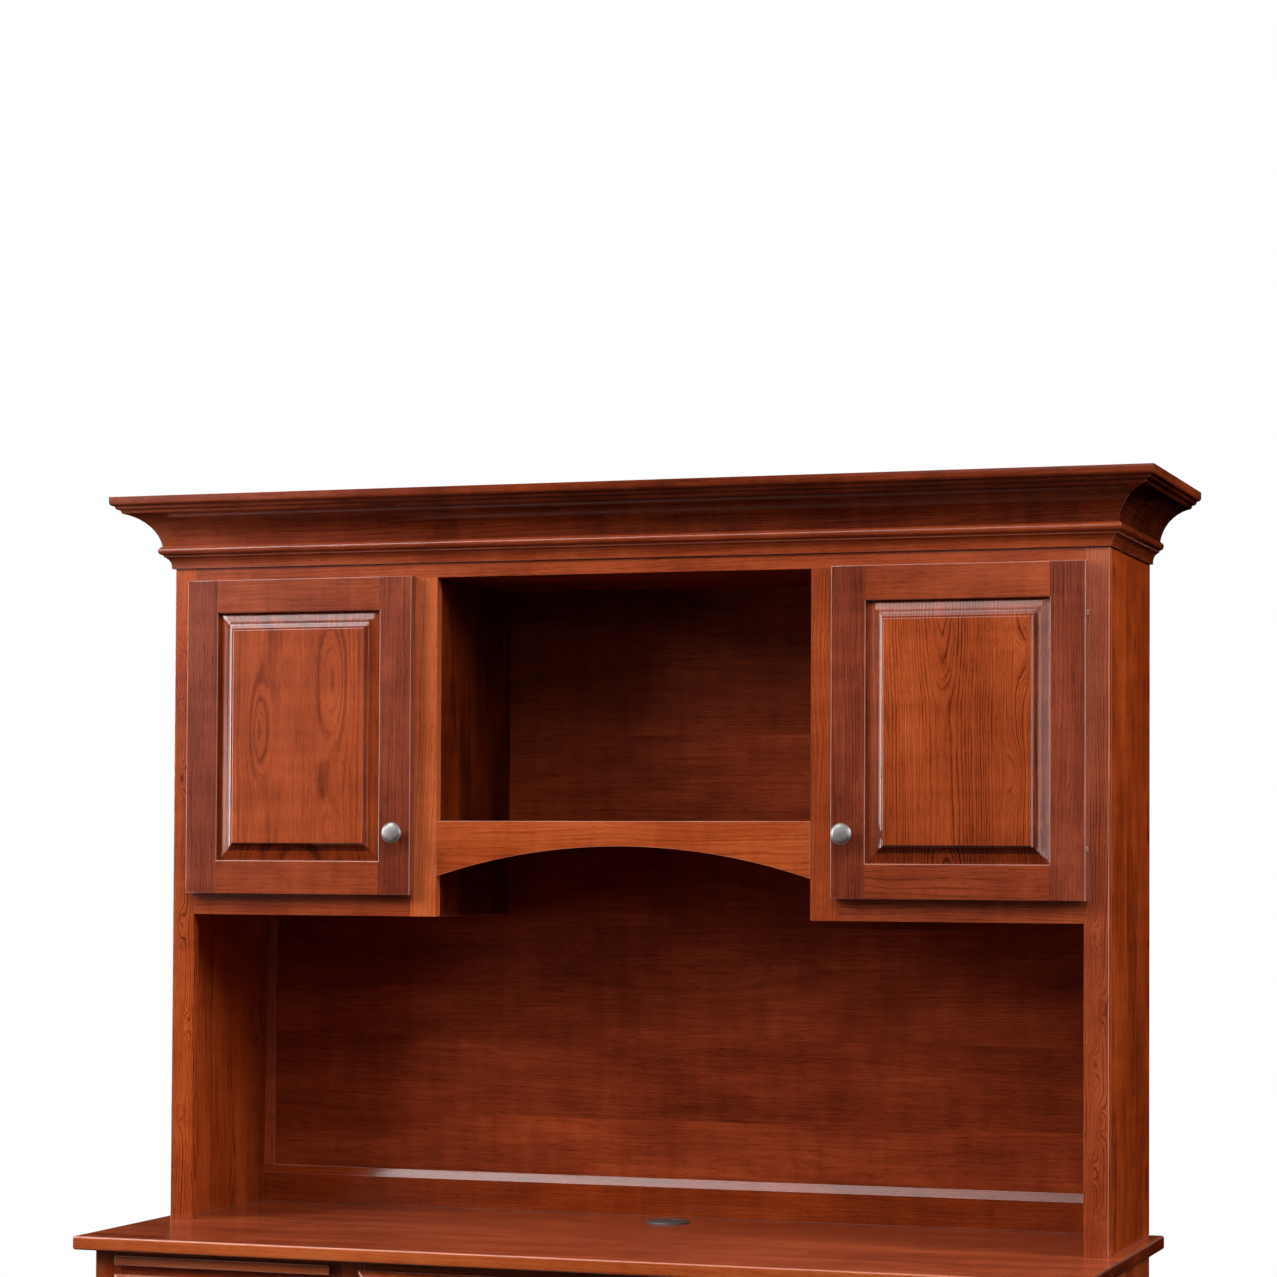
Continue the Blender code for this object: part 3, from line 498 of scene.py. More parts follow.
def lessen_wear_and_sheen(shape, share, where):
    """Leaves only a share of the wear and painted highlight on the arrises at the points that where picks."""
    worn_and_sheen = shape.verts.layers.float["worn_and_sheen"]
    for vert in shape.verts:
        if where(vert.co):
            vert[worn_and_sheen] *= share


def halves(shape, level):
    """Parts a shape that is split at a level into its front and its rear."""
    rear = shape.copy()
    front_faces = [face for face in rear.faces if face.calc_center_median().y < level]
    bmesh.ops.delete(rear, geom=front_faces, context="FACES")
    rear_faces = [face for face in shape.faces if face.calc_center_median().y > level]
    bmesh.ops.delete(shape, geom=rear_faces, context="FACES")
    return shape, rear


def staves(key, shape, low, high, along, across, face, width, tone=0.0, figure=0.40, plum=0.3):
    """Splits a wide panel into glued-up staves of about a width, and returns what picks a face's stave."""
    draw = random.Random(key)
    start = low.dot(across)
    span = high.dot(across) - start
    count = max(1, round(span / width))
    cuts = [start + span * (i + draw.uniform(*STAVE_SHIFT)) / count for i in range(1, count)]
    split(shape, across, *cuts)
    edges = [start, *cuts, start + span]
    middle = (low + high) / 2
    boards = []
    for i in range(count):
        place = middle + across * ((edges[i] + edges[i + 1]) / 2 - middle.dot(across))
        heart = draw.uniform(*STAVE_HEART) * (edges[i + 1] - edges[i])
        depth = draw.uniform(*STAVE_DEPTH)
        boards.append(Board(f"{key} {i}", place, along, face, tone, figure, plum, heart, depth))

    def choose(point):
        beyond = sum(point.dot(across) > cut for cut in cuts)
        return boards[beyond]

    return choose


class Nodes:
    """Adds and links the nodes of one material or world."""

    def __init__(self, owner):
        owner.use_nodes = True
        self.tree = owner.node_tree
        self.tree.nodes.clear()

    def add(self, kind, inputs=None, **settings):
        made = self.tree.nodes.new("ShaderNode" + kind)
        for key, value in settings.items():
            setattr(made, key, value)
        for key, value in (inputs or {}).items():
            if isinstance(value, bpy.types.NodeSocket):
                self.tree.links.new(value, made.inputs[key])
            else:
                made.inputs[key].default_value = value
        return made

    def math(self, operation, first, second=0.0):
        return self.add("Math", {0: first, 1: second}, operation=operation).outputs[0]

    def multiply_add(self, first, second, third):
        return self.add("Math", {0: first, 1: second, 2: third}, operation="MULTIPLY_ADD").outputs[0]

    def vector(self, operation, first, second):
        return self.add("VectorMath", {0: first, 1: second}, operation=operation).outputs[0]

    def noise(self, place, often, detail=2.0, roughness=0.5):
        """Noise that comes about so often to a metre along each axis."""
        moved = self.vector("MULTIPLY", place, often)
        inputs = {"Vector": moved, "Scale": 1.0, "Detail": detail, "Roughness": roughness}
        return self.add("TexNoise", inputs)

    def spread(self, value, low, high, to_low=0.0, to_high=1.0):
        inputs = {"Value": value, "From Min": low, "From Max": high, "To Min": to_low, "To Max": to_high}
        return self.add("MapRange", inputs).outputs[0]

    def vary(self, noise, low, high):
        """Takes the usual range of a noise to one from low to high."""
        return self.spread(noise, *NOISE_RANGE, low, high)

    def mix(self, share, first, second):
        """Mixes two colours, whose sockets come after those for numbers and vectors."""
        return self.add("Mix", {0: share, 6: first, 7: second}, data_type="RGBA").outputs[2]

    def ramp(self, value, stops):
        made = self.add("ValToRGB", {"Fac": value})
        elements = made.color_ramp.elements
        while len(elements) < len(stops):
            elements.new(1.0)
        for element, (place, colour) in zip(elements, stops):
            element.position = place
            element.color = (*colour, 1.0)
        return made.outputs[0]

    def clouds(self, place, often, greys):
        dark, pale = (grey(value) for value in greys)
        return self.ramp(self.noise(place, grey(often)).outputs[0], ((0.0, dark), (1.0, pale)))

    def finish(self, kind, inputs):
        shader = self.add(kind, inputs)
        self.tree.links.new(shader.outputs[0], self.add("OutputMaterial").inputs["Surface"])


def new_material(name):
    material = bpy.data.materials.new(name)
    return material, Nodes(material)


def grey(value):
    return (value, value, value)


# Colours of the stained wood, from the darkest line to the palest streak
CHERRY_STOPS = (
    (0.00, (0.020, 0.0026, 0.0006)),
    (0.25, (0.088, 0.0105, 0.0016)),
    (0.50, (0.205, 0.0275, 0.0040)),
    (0.75, (0.360, 0.0600, 0.0110)),
    (1.00, (0.520, 0.1120, 0.0270)),
)
PLUM_STOPS = (
    (0.00, (0.018, 0.0034, 0.0022)),
    (0.25, (0.078, 0.0140, 0.0075)),
    (0.50, (0.185, 0.0350, 0.0165)),
    (0.75, (0.330, 0.0720, 0.0320)),
    (1.00, (0.480, 0.1300, 0.0560)),
)
MAPLE_STOPS = (
    (0.00, (0.260, 0.140, 0.060)),
    (0.35, (0.420, 0.260, 0.130)),
    (0.60, (0.520, 0.350, 0.190)),
    (0.85, (0.600, 0.430, 0.250)),
    (1.00, (0.660, 0.500, 0.310)),
)
LATEWOOD_STOPS = (
    (0.00, grey(0.40)),
    (0.10, grey(0.05)),
    (0.50, grey(0.00)),
    (0.74, grey(0.22)),
    (0.90, grey(1.00)),
    (1.00, grey(0.40)),
)
# Pale colour of the worn arrises, which also serves as a painted highlight, and how much of it they take
WORN_SHEEN_COLOUR = (0.62, 0.34, 0.26, 1.0)
WORN_SHEEN_SHARES = (0.40, 0.70)

# Noise in the wood: how often it comes to a metre along and across the grain, its detail and its roughness
NOISE_RANGE = (0.3, 0.7)
WOOD_NOISE = {
    "drift": ((2.6, 9.0, 9.0), 2.5, 0.55),
    "tremble": ((22.0, 90.0, 90.0), 2.0, 0.60),
    "fade": ((3.5, 40.0, 40.0), 2.0, 0.50),
    "streak": ((7.0, 300.0, 300.0), 4.0, 0.65),
    "pores": ((60.0, 900.0, 900.0), 2.0, 0.60),
    "blotch": ((4.0, 13.0, 13.0), 3.0, 0.55),
    "band": ((34.0, 5.0, 5.0), 1.5, 0.50),
}
DRIFT_REACH = (0.0, 0.030, 0.050)
TREMBLE_REACH = (0.0, 0.0036, 0.0036)
UNEVEN_OFTEN = 60.0
UNEVEN_RINGS = 2.5
FADE_SPREAD = (0.35, 0.65, 0.15, 1.0)
PORE_SPREAD = (0.54, 0.70)
STREAK_SHARE = 0.42
BLOTCH_SHARE = 0.60
BAND_SHARE = 0.20
PORE_DEPTH = 0.20
SMOOTHER = 0.03
ROUGHER = 0.04
RING_RELIEF = 0.5
WOOD_BUMP = {"Strength": 0.04, "Distance": 0.0004}

# Brushed metal and sparked plastic: how often their texture and clouds come to a metre, and how deep they are
BRUSHED = {"often": (700.0, 700.0, 2600.0), "clouds": 160.0, "detail": 3.0, "strength": 0.05}
SPARKED = {"often": grey(2400.0), "clouds": 60.0, "detail": 2.0, "strength": 0.12}
FINE_DISTANCE = 0.0001


def wood_material(name, stops, plum_stops, level, ring_depth, roughness, gloss=0.45):
    """Growth rings, streaks, pores, blotches and worn arrises with a painted highlight, all laid along each
    board's own grain.
    """
    material, nodes = new_material(name)
    grain = nodes.add("Attribute", attribute_name="grain").outputs["Vector"]
    stain_and_painted_light = nodes.add("Attribute", attribute_name="stain_and_painted_light").outputs["Vector"]
    growth = nodes.add("Attribute", attribute_name="growth").outputs["Vector"]
    tone, plum, worn_and_sheen = nodes.add("SeparateXYZ", {0: stain_and_painted_light}).outputs
    rings, figure, stray = nodes.add("SeparateXYZ", {0: growth}).outputs
    noises = {key: nodes.noise(grain, *settings) for key, settings in WOOD_NOISE.items()}
    middle = grey(0.5)

    # Growth rings round a heart that wanders along the board
    centred = nodes.vector("SUBTRACT", noises["drift"].outputs["Color"], middle)
    wander = nodes.vector("MULTIPLY", centred, DRIFT_REACH)
    wander = nodes.add("VectorMath", {0: wander, "Scale": stray}, operation="SCALE").outputs[0]
    shiver = nodes.vector("SUBTRACT", noises["tremble"].outputs["Color"], middle)
    shaken = nodes.vector("MULTIPLY", shiver, TREMBLE_REACH)
    moved = nodes.vector("ADD", nodes.vector("ADD", grain, wander), shaken)
    out = nodes.vector("MULTIPLY", moved, (0.0, 1.0, 1.0))
    radius = nodes.add("VectorMath", {0: out}, operation="LENGTH").outputs["Value"]
    inputs = {"W": radius, "Scale": UNEVEN_OFTEN, "Detail": 1.0}
    uneven = nodes.add("TexNoise", inputs, noise_dimensions="1D").outputs[0]
    count = nodes.multiply_add(radius, rings, nodes.math("MULTIPLY", uneven, UNEVEN_RINGS))
    ring = nodes.ramp(nodes.math("FRACT", count), LATEWOOD_STOPS)
    ring = nodes.math("MULTIPLY", ring, nodes.spread(noises["fade"].outputs[0], *FADE_SPREAD))
    ring = nodes.math("MULTIPLY", ring, figure)

    # Streaks, pores, blotches of the stain, and bands across the grain
    streak = noises["streak"].outputs[0]
    pores = nodes.spread(noises["pores"].outputs[0], *PORE_SPREAD)
    blotch = noises["blotch"].outputs[0]
    band = noises["band"].outputs[0]
    value = nodes.math("ADD", tone, level)
    for part, share in ((streak, STREAK_SHARE), (blotch, BLOTCH_SHARE), (band, BAND_SHARE)):
        value = nodes.multiply_add(nodes.math("SUBTRACT", part, 0.5), share, value)
    for part, share in ((ring, -ring_depth), (pores, -PORE_DEPTH)):
        value = nodes.multiply_add(part, share, value)
    colour = nodes.mix(plum, nodes.ramp(value, stops), nodes.ramp(value, plum_stops))
    # Worn arrises turn pale, partly from wear and partly as a painted highlight
    rubbed_and_sheen = nodes.math("MULTIPLY", worn_and_sheen, nodes.vary(streak, *WORN_SHEEN_SHARES))
    colour = nodes.mix(rubbed_and_sheen, colour, WORN_SHEEN_COLOUR)

    shine = nodes.vary(streak, roughness - SMOOTHER, roughness + ROUGHER)
    relief = nodes.math("ADD", nodes.math("MULTIPLY", ring, RING_RELIEF), pores)
    bump = nodes.add("Bump", {**WOOD_BUMP, "Height": relief}, invert=True).outputs[0]
    inputs = {"Base Color": colour, "Roughness": shine, "Normal": bump, "Specular IOR Level": gloss}
    nodes.finish("BsdfPrincipled", inputs)
    return material


def fine_material(name, pale, dark, shine, often, clouds, detail, strength, metallic=0.0):
    """A little clouded metal or plastic, with a fine texture that its shine and bump follow."""
    material, nodes = new_material(name)
    place = nodes.add("TexCoord").outputs["Object"]
    fine = nodes.noise(place, often).outputs[0]
    cloud = nodes.noise(place, grey(clouds), detail).outputs[0]
    mixed = nodes.ramp(nodes.vary(cloud, 0.0, 1.0), ((0.0, dark), (1.0, pale)))
    relief = {"Strength": strength, "Distance": FINE_DISTANCE, "Height": fine}
    bump = nodes.add("Bump", relief).outputs[0]
    rough = nodes.vary(fine, *shine)
    inputs = {"Base Color": mixed, "Roughness": rough, "Normal": bump, "Metallic": metallic}
    nodes.finish("BsdfPrincipled", inputs)
    return material


STAINED = {"stops": CHERRY_STOPS, "plum_stops": PLUM_STOPS, "level": 0.655, "ring_depth": 0.52}
CHERRY = wood_material("stained_cherry", roughness=0.13, **STAINED)
CHERRY_DULL = wood_material("dull_cherry", roughness=0.34, gloss=0.05, **STAINED)
CHERRY_TOP = wood_material("rubbed_cherry", roughness=0.20, **STAINED)
MAPLE = wood_material("drawer_maple", MAPLE_STOPS, MAPLE_STOPS, level=0.62, ring_depth=0.16, roughness=0.45)
NICKEL = fine_material(
    "satin_nickel", (0.27, 0.25, 0.25), (0.20, 0.18, 0.18), (0.36, 0.50), metallic=0.8, **BRUSHED
)
BRASS = fine_material(
    "hinge_brass", (0.24, 0.140, 0.080), (0.15, 0.085, 0.048), (0.44, 0.58), metallic=0.6, **BRUSHED
)
PLASTIC = fine_material(
    "grommet_plastic", (0.055, 0.050, 0.050), (0.040, 0.036, 0.036), (0.42, 0.58), **SPARKED
)

SIDES = ((-1, "left"), (1, "right"))


def low_high(node):
    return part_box(node)


def plain_board(node, along, face, radius=ARRIS):
    """A node that is one board."""
    low, high = low_high(node)
    board = Board(node, (low + high) / 2, along, face)
    shape = ease(solid(node), radius)
    Piece(node + "_board").take(shape, board).place(node)


def glued_panel(node, along, across, face, width, radius=ARRIS, slot="cherry", finish=CHERRY, **stain_and_painted_light):
    """A node that is a panel of glued-up staves."""
    low, high = low_high(node)
    shape = ease(solid(node), radius)
    choose = staves(node, shape, low, high, along, across, face, width, **stain_and_painted_light)
    Piece(node + "_panel").take(shape, choose, finish).place(node, slot)


def build_face_frame():
    """The hutch's face frame: full-height stiles at the ends, a top rail, and stiles and rails under it."""
    node = "hutch_face_frame"
    low, high = low_high(node)
    shape = solid(node)

    def corner(point):
        return at(abs(point.x), high.x) and at(point.y, low.y)

    ease(shape, FRAME_CORNER, 3, corner, wear_and_sheen=FRAME_WEAR_AND_SHEEN)
    ease(shape, FRAME_ARRIS, 2, wear_and_sheen=FRAME_WEAR_AND_SHEEN)
    split(shape, X, -END_STILE_INNER, END_STILE_INNER)
    split(shape, X, *steps(low.x, -END_STILE_INNER, STILE_STEP))
    split(shape, X, *steps(END_STILE_INNER, high.x, STILE_STEP))
    split(shape, Z, *steps(low.z, high.z, STEP_ALONG))
    for place in CENTER_STILE:
        split(shape, X, -place, place)
    split(shape, Z, TOP_RAIL_BOTTOM)
    middle = (low + high) / 2
    boards = {}
    for side, word in SIDES:
        place = (side * (END_STILE_INNER + high.x) / 2, HUTCH_FACE, middle.z)
        boards["end", side] = Board("end stile " + word, place, Z, -Y)
        place = (side * sum(CENTER_STILE) / 2, HUTCH_FACE, CENTER_MIDDLE)
        boards["center", side] = Board("center stile " + word, place, Z, -Y)
        place = (side * CABINET_MIDDLE, HUTCH_FACE, CABINET_RAIL)
        boards["rail", side] = Board("cabinet rail " + word, place, X, -Y)
    boards["top"] = Board("top rail", (0.0, HUTCH_FACE, TOP_RAIL_MIDDLE), X, -Y)

    def choose(point):
        side = 1 if point.x > 0 else -1
        if abs(point.x) > END_STILE_INNER:
            return boards["end", side]
        if point.z > TOP_RAIL_BOTTOM:
            return boards["top"]
        if CENTER_STILE[0] - SLACK < abs(point.x) < CENTER_STILE[1]:
            return boards["center", side]
        return boards["rail", side] if point.z < RAILS_BELOW else boards["top"]

    Piece("hutch_frame_boards").take(shape, choose).place(node)


def build_back_rail():
    """The rail over the rear of the desktop, with a strip up each rear corner."""
    node = "back_rail"
    low = low_high(node)[0]
    shape = ease(solid(node), BACK_RAIL_ARRIS, sharper=BACK_RAIL_SHARP)
    lessen_wear_and_sheen(shape, STRIP_WORN_AND_SHEEN, lambda point: point.z > BACK_RAIL_TOP + STRIP_FOOT)
    split(shape, Z, BACK_RAIL_TOP)
    rail = Board("back rail", (0.0, low.y, low.z + BACK_RAIL_MIDDLE), X, -Y)
    strips = {}
    for side, word in SIDES:
        place = (side * STRIP_INNER, low.y, STRIP_MIDDLE)
        strips[side] = Board("corner strip " + word, place, Z, -Y, tone=0.10)

    def choose(point):
        if point.z < BACK_RAIL_TOP:
            return rail
        return strips[1 if point.x > 0 else -1]

    Piece(node + "_boards").take(shape, choose).place(node, "cherry_dark")


def build_crown(word, along, face):
    """One length of the crown, whose neck, cove and fascia are toned apart: the cove darker as painted shade,
    and the front with a painted sheen towards its left end.
    """
    node = "crown_" + word
    low, high = low_high(node)
    neck = Board(node, (low + high) / 2, along, face, CROWN_TONES[word], figure=0.30)
    # The cove is darker, painted shade under the crown's overhang
    cove = copy.copy(neck)
    cove.tone -= COVE_PAINTED_SHADE
    fascia = copy.copy(neck)
    fascia.tone = FASCIA_TONE
    shape = ease(solid(node), CROWN_ARRIS)
    if word == "front":
        split(shape, X, *steps(low.x, high.x, CROWN_STEP))
        # A painted sheen, paler and pinker towards the front's left end
        for part, tone in zip((neck, cove, fascia), CROWN_SHEEN_TONES):
            part.drift = (*CROWN_SHEEN_SPAN, tone, CROWN_SHEEN_PLUM)

    def choose(point):
        if point.z < low.z + CROWN_NECK:
            return neck
        return cove if point.z < high.z - CROWN_FASCIA else fascia

    Piece(node + "_moulding").take(shape, choose).place(node)


def build_hutch():
    build_face_frame()
    plain_board("arched_apron", X, -Y, APRON_ARRIS)
    outside = {"figure": 0.8, "plum": 0.0, "finish": CHERRY_DULL}
    inside = {"slot": "cherry_dark", "finish": CHERRY_DULL}
    for _, word in SIDES:
        glued_panel(f"hutch_{word}_side", Z, Y, X, HUTCH_STAVE, tone=SIDE_TONES[word], **outside)
        # The partitions are much darker: painted shade inside the cubbies
        glued_panel(f"hutch_{word}_partition", Z, Y, X, HUTCH_STAVE, tone=-0.36, plum=0.0, **inside)
        glued_panel(f"{word}_cabinet_bottom", X, Y, Z, HUTCH_STAVE, tone=INSIDE_TONE, **inside)
    for node in ("center_shelf", "hutch_top"):
        glued_panel(node, X, Y, Z, HUTCH_STAVE, tone=INSIDE_TONE, **inside)
    back = {"tone": -0.15, "figure": 0.18, "radius": BACK_ARRIS}
    glued_panel("hutch_back", X, Z, -Y, HUTCH_BACK_STAVE, **back, **inside)
    build_back_rail()
    for word, along, face in (("front", X, -Y), ("left", Y, -X), ("right", Y, X)):
        build_crown(word, along, face)


def build_door_frame(word):
    """A door's stiles and rails, with more rounded arrises at the front."""
    node = word + "_door_frame"
    body = word + "_door"
    low, high = low_high(node)
    shape = solid(node)
    sight_low = Vector((low.x + DOOR_STILE, 0.0, low.z + DOOR_STILE))
    sight_high = Vector((high.x - DOOR_STILE, 0.0, high.z - DOOR_STILE))

    def outer(point):
        edge = at(point.x, low.x) or at(point.x, high.x) or at(point.z, low.z) or at(point.z, high.z)
        return edge and at(point.y, low.y)

    def inner(point):
        inside = sight_low.x - SLACK < point.x < sight_high.x + SLACK
        inside = inside and sight_low.z - SLACK < point.z < sight_high.z + SLACK
        return inside and at(point.y, low.y)

    ease(shape, DOOR_OUTER_ARRIS, 4, outer)
    ease(shape, DOOR_INNER_ARRIS, 4, inner)
    ease(shape, DOOR_BACK_ARRIS, 2, lambda point: at(point.y, high.y))
    split(shape, X, sight_low.x, sight_high.x)
    middle = (low + high) / 2
    stiles = {}
    rails = {}
    for end, name in SIDES:
        place = (low.x + DOOR_STILE / 2 if end < 0 else high.x - DOOR_STILE / 2, low.y, middle.z)
        stiles[end] = Board(f"{word} door {name} stile", place, Z, -Y)
    for end, name in ((-1, "bottom"), (1, "top")):
        place = (middle.x, low.y, low.z + DOOR_STILE / 2 if end < 0 else high.z - DOOR_STILE / 2)
        rails[end] = Board(f"{word} door {name} rail", place, X, -Y)

    def choose(point):
        if sight_low.x < point.x < sight_high.x:
            return rails[1 if point.z > middle.z else -1]
        return stiles[1 if point.x > middle.x else -1]

    Piece(body + "_frame_boards").take(shape, choose).place(node, body=body)


def build_door_panel(word):
    """A door's raised panel, whose rim is darker than its field from pooled stain and painted shade, and
    darkest along its foot, where the shade is painted.
    """
    node = word + "_door_panel"
    body = word + "_door"
    low, high = low_high(node)
    middle = (low + high) / 2
    shape = solid(node)
    for vert in shape.verts:
        if vert.co.y < low.y + RIM_SOLID:
            vert.co.y = low.y + (vert.co.y - low.y) * RIM_SHARE
    field = Board(word + " raised panel", (middle.x, low.y, middle.z), Z, -Y)
    ease(shape, PANEL_ARRIS, 3, lambda point: at(point.y, low.y), PANEL_SHARP)
    split(shape, X, *steps(low.x, high.x, PANEL_STEP))
    split(shape, Z, *steps(low.z, high.z, STEP_ALONG))
    # Rim boards darker from pooled stain and painted shade; along the foot the painted shade is deeper
    shades = {}
    for name, darker in RIM_STAIN_AND_SHADE.items():
        shades[name] = copy.copy(field)
        shades[name].tone -= darker

    def choose(point):
        if point.y < low.y + FIELD_DEPTH:
            return field
        name = "ramp" if point.y < low.y + RAMP_RISE else "slope"
        beside = max(0.0, low.x + PANEL_RIM - point.x, point.x - high.x + PANEL_RIM)
        below = low.z + PANEL_RIM - point.z > beside
        return shades["lower " + name if below else name]

    Piece(body + "_raised_panel").take(shape, choose).place(node, "cherry_panel", body)


def build_door(word):
    build_door_frame(word)
    build_door_panel(word)
    for level in ("lower", "upper"):
        for leaf in ("case", "door"):
            finish_node(f"{word}_{level}_hinge_{leaf}_leaf", BRASS)
    build_knob(word + "_door_knob", word + "_door")


def finish_node(node, material):
    """Keeps a CAD node, with its arrises rounded and a finished surface."""
    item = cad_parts[node]
    item.data.materials.clear()
    item.data.materials.append(material)
    weld = item.modifiers.new("weld", "WELD")
    weld.merge_threshold = WELD
    bevel = item.modifiers.new("bevel", "BEVEL")
    bevel.width = HARDWARE_ARRIS
    bevel.segments = 2
    bevel.limit_method = "ANGLE"
    bevel.angle_limit = SHARP


def knob_profile():
    """Half the outline of a mushroom knob, from the middle of its face to its seat."""
    points = []
    for i in range(KNOB_FACE_STEPS + 1):
        share = i / KNOB_FACE_STEPS
        points.append((KNOB_FACE_RADIUS * share, KNOB_REACH - KNOB_DOME * share * share))
    points += KNOB_SHOULDER
    radius, reach = KNOB_RIM_MIDDLE
    for i in range(KNOB_RIM_STEPS + 1):
        angle = math.radians(KNOB_RIM_START - KNOB_RIM_TURN * i / KNOB_RIM_STEPS)
        points.append((radius + KNOB_RIM_RADIUS * math.cos(angle), reach + KNOB_RIM_RADIUS * math.sin(angle)))
    points += KNOB_STEM
    return points


def build_knob(node, body):
    """Turns the outline about a line that points to the front from the middle of the knob's seat."""
    low, high = low_high(node)
    shape = bmesh.new()
    start = [shape.verts.new((radius, 0.0, reach)) for radius, reach in knob_profile()]
    edges = [shape.edges.new(pair) for pair in zip(start, start[1:])]
    turn = {"cent": (0, 0, 0), "axis": (0, 0, 1), "angle": math.tau, "steps": KNOB_SIDES}
    bmesh.ops.spin(shape, geom=start + edges, use_merge=True, **turn)
    bmesh.ops.remove_doubles(shape, verts=shape.verts, dist=WELD)
    bmesh.ops.recalc_face_normals(shape, faces=shape.faces)
    seat = Vector(((low.x + high.x) / 2, high.y, (low.z + high.z) / 2))
    place = Matrix.Translation(seat) @ Matrix.Rotation(math.pi / 2, 4, "X")
    bmesh.ops.transform(shape, matrix=place, verts=shape.verts)
    name = node + "_turned"
    mesh = mesh_of(shape, name)
    mesh.materials.append(NICKEL)
    put(name, mesh, body, [node])


def build_desktop():
    """Planks with a front edge and end grain of their own, and the grommet."""
    node = "desktop"
    low, high = low_high(node)
    shape = solid(node)

    def rim(point):
        return at(point.x, low.x) or at(point.x, high.x) or at(point.y, low.y) or at(point.y, high.y)

    ease(shape, DESKTOP_ARRIS, 4, rim, wear_and_sheen=TOP_WEAR_AND_SHEEN)
    # The ends keep less of the wear and painted highlight on their arrises
    lessen_wear_and_sheen(shape, END_WORN_AND_SHEEN, lambda point: abs(point.x) > high.x - END_ARRIS)
    planks = staves(node, shape, low, high, X, Y, Z, DESKTOP_STAVE, figure=0.5, plum=0.6)
    edge = Board("desktop edge", (0.0, low.y, high.z), X, -Y)
    # End grain is darker: it takes more stain, and painted shade is added on it
    ends = Board("desktop end grain", (high.x, 0.0, high.z), Y, X, tone=-0.30, figure=0.3, plum=0.2)

    def choose(point):
        if abs(point.x) > high.x - END_DEPTH:
            return ends
        return edge if point.y < low.y + EDGE_DEPTH else planks(point)

    Piece("desktop_planks").take(shape, choose, CHERRY_TOP).place(node, "cherry_top")
    finish_node("grommet_liner", PLASTIC)
    finish_node("grommet_cap", PLASTIC)


def build_drawer(name):
    """A bevelled cherry front with a box of paler wood behind it."""
    low, high = low_high(name)
    body = name + "_body"
    shape = solid(name)
    back = BASE_FACE - FRONT_GAP

    def face(point):
        return point.y < back - SLACK

    ease(shape, FRONT_ARRIS, 3, face, FRONT_SHARP)
    ease(shape, DRAWER_ARRIS, 2)
    split(shape, Y, back)
    middle = (low + high) / 2
    front = Board(name + " front", (middle.x, low.y, middle.z), X, -Y, tone=0.02, heart=0.01, depth=0.05)
    boxes = {
        "side": Board(name + " box side", middle, Y, X),
        "end": Board(name + " box end", middle, X, Y),
        "floor": Board(name + " box floor", middle, X, Z),
    }

    def choose(point):
        if point.x < low.x + BOX_SIDE or point.x > high.x - BOX_SIDE:
            return boxes["side"]
        return boxes["floor"] if point.z < low.z + BOX_FLOOR else boxes["end"]

    shape, rear = halves(shape, back)
    Piece(name + "_boards").take(shape, front).take(rear, choose, MAPLE).place(name, body=body)
    build_knob(name + "_knob", body)


def build_drawer_frame(side, word):
    """A pedestal's face frame, with the runners behind it in paler wood."""
    node = word + "_drawer_frame"
    low, high = low_high(node)
    shape = ease(solid(node), CASE_ARRIS)
    back = BASE_FACE + FRAME_THICK
    inner = sorted(side * place for place in PEDESTAL_STILES)
    split(shape, Y, back)
    split(shape, X, *inner)
    stiles = {}
    for end, edge in ((-1, low.x), (1, high.x)):
        stiles[end] = Board(f"{node} stile {end}", (edge, low.y, PEDESTAL_MIDDLE), Z, -Y)
    runner = Board(node + " runner", (low + high) / 2, Y, Z)
    rails = []
    for level in PEDESTAL_RAILS:
        rails.append(Board(f"{node} rail {level}", ((low.x + high.x) / 2, low.y, level), X, -Y))

    def choose(point):
        if point.x < inner[0]:
            return stiles[-1]
        if point.x > inner[1]:
            return stiles[1]
        return min(rails, key=lambda rail: abs(rail.middle.z - point.z))

    shape, rear = halves(shape, back)
    Piece(node + "_boards").take(shape, choose).take(rear, runner, MAPLE).place(node)


def build_plinth(word):
    node = word + "_plinth"
    low, high = low_high(node)
    shape = ease(solid(node), PLINTH_ARRIS, 3)
    back = low.y + PLINTH_THICK
    split(shape, Y, back)
    middle = (low + high) / 2
    front = Board(node + " front", (middle.x, low.y, middle.z), X, -Y)
    ends = {end: Board(f"{node} end {end}", middle, Y, X * end) for end in (-1, 1)}

    def choose(point):
        if point.y < back:
            return front
        return ends[1 if point.x > middle.x else -1]

    Piece(node + "_boards").take(shape, choose).place(node)


def build_slide(word):
    """A writing slide of glued-up planks with a paler front edge, painted light where the desktop shades it.
    """
    node = word + "_writing_slide"
    low, high = low_high(node)
    shape = ease(solid(node), SLIDE_ARRIS, 4, wear_and_sheen=TOP_WEAR_AND_SHEEN)
    split(shape, X, *steps(low.x, high.x, SLIDE_STEP))
    planks = staves(node, shape, low, high, X, Y, Z, BASE_STAVE, tone=0.02)
    place = ((low.x + high.x) / 2, low.y, high.z)
    # The front edge is paler: painted light where the desktop's shadow falls on it
    edge = Board(node + " edge", place, X, -Y, tone=0.34, figure=0.6, plum=0.9)
    edge.drift = SLIDE_DRIFT

    def choose(point):
        return edge if point.y < low.y + EDGE_DEPTH else planks(point)

    Piece(node + "_boards").take(shape, choose).place(node, body=word + "_slide")


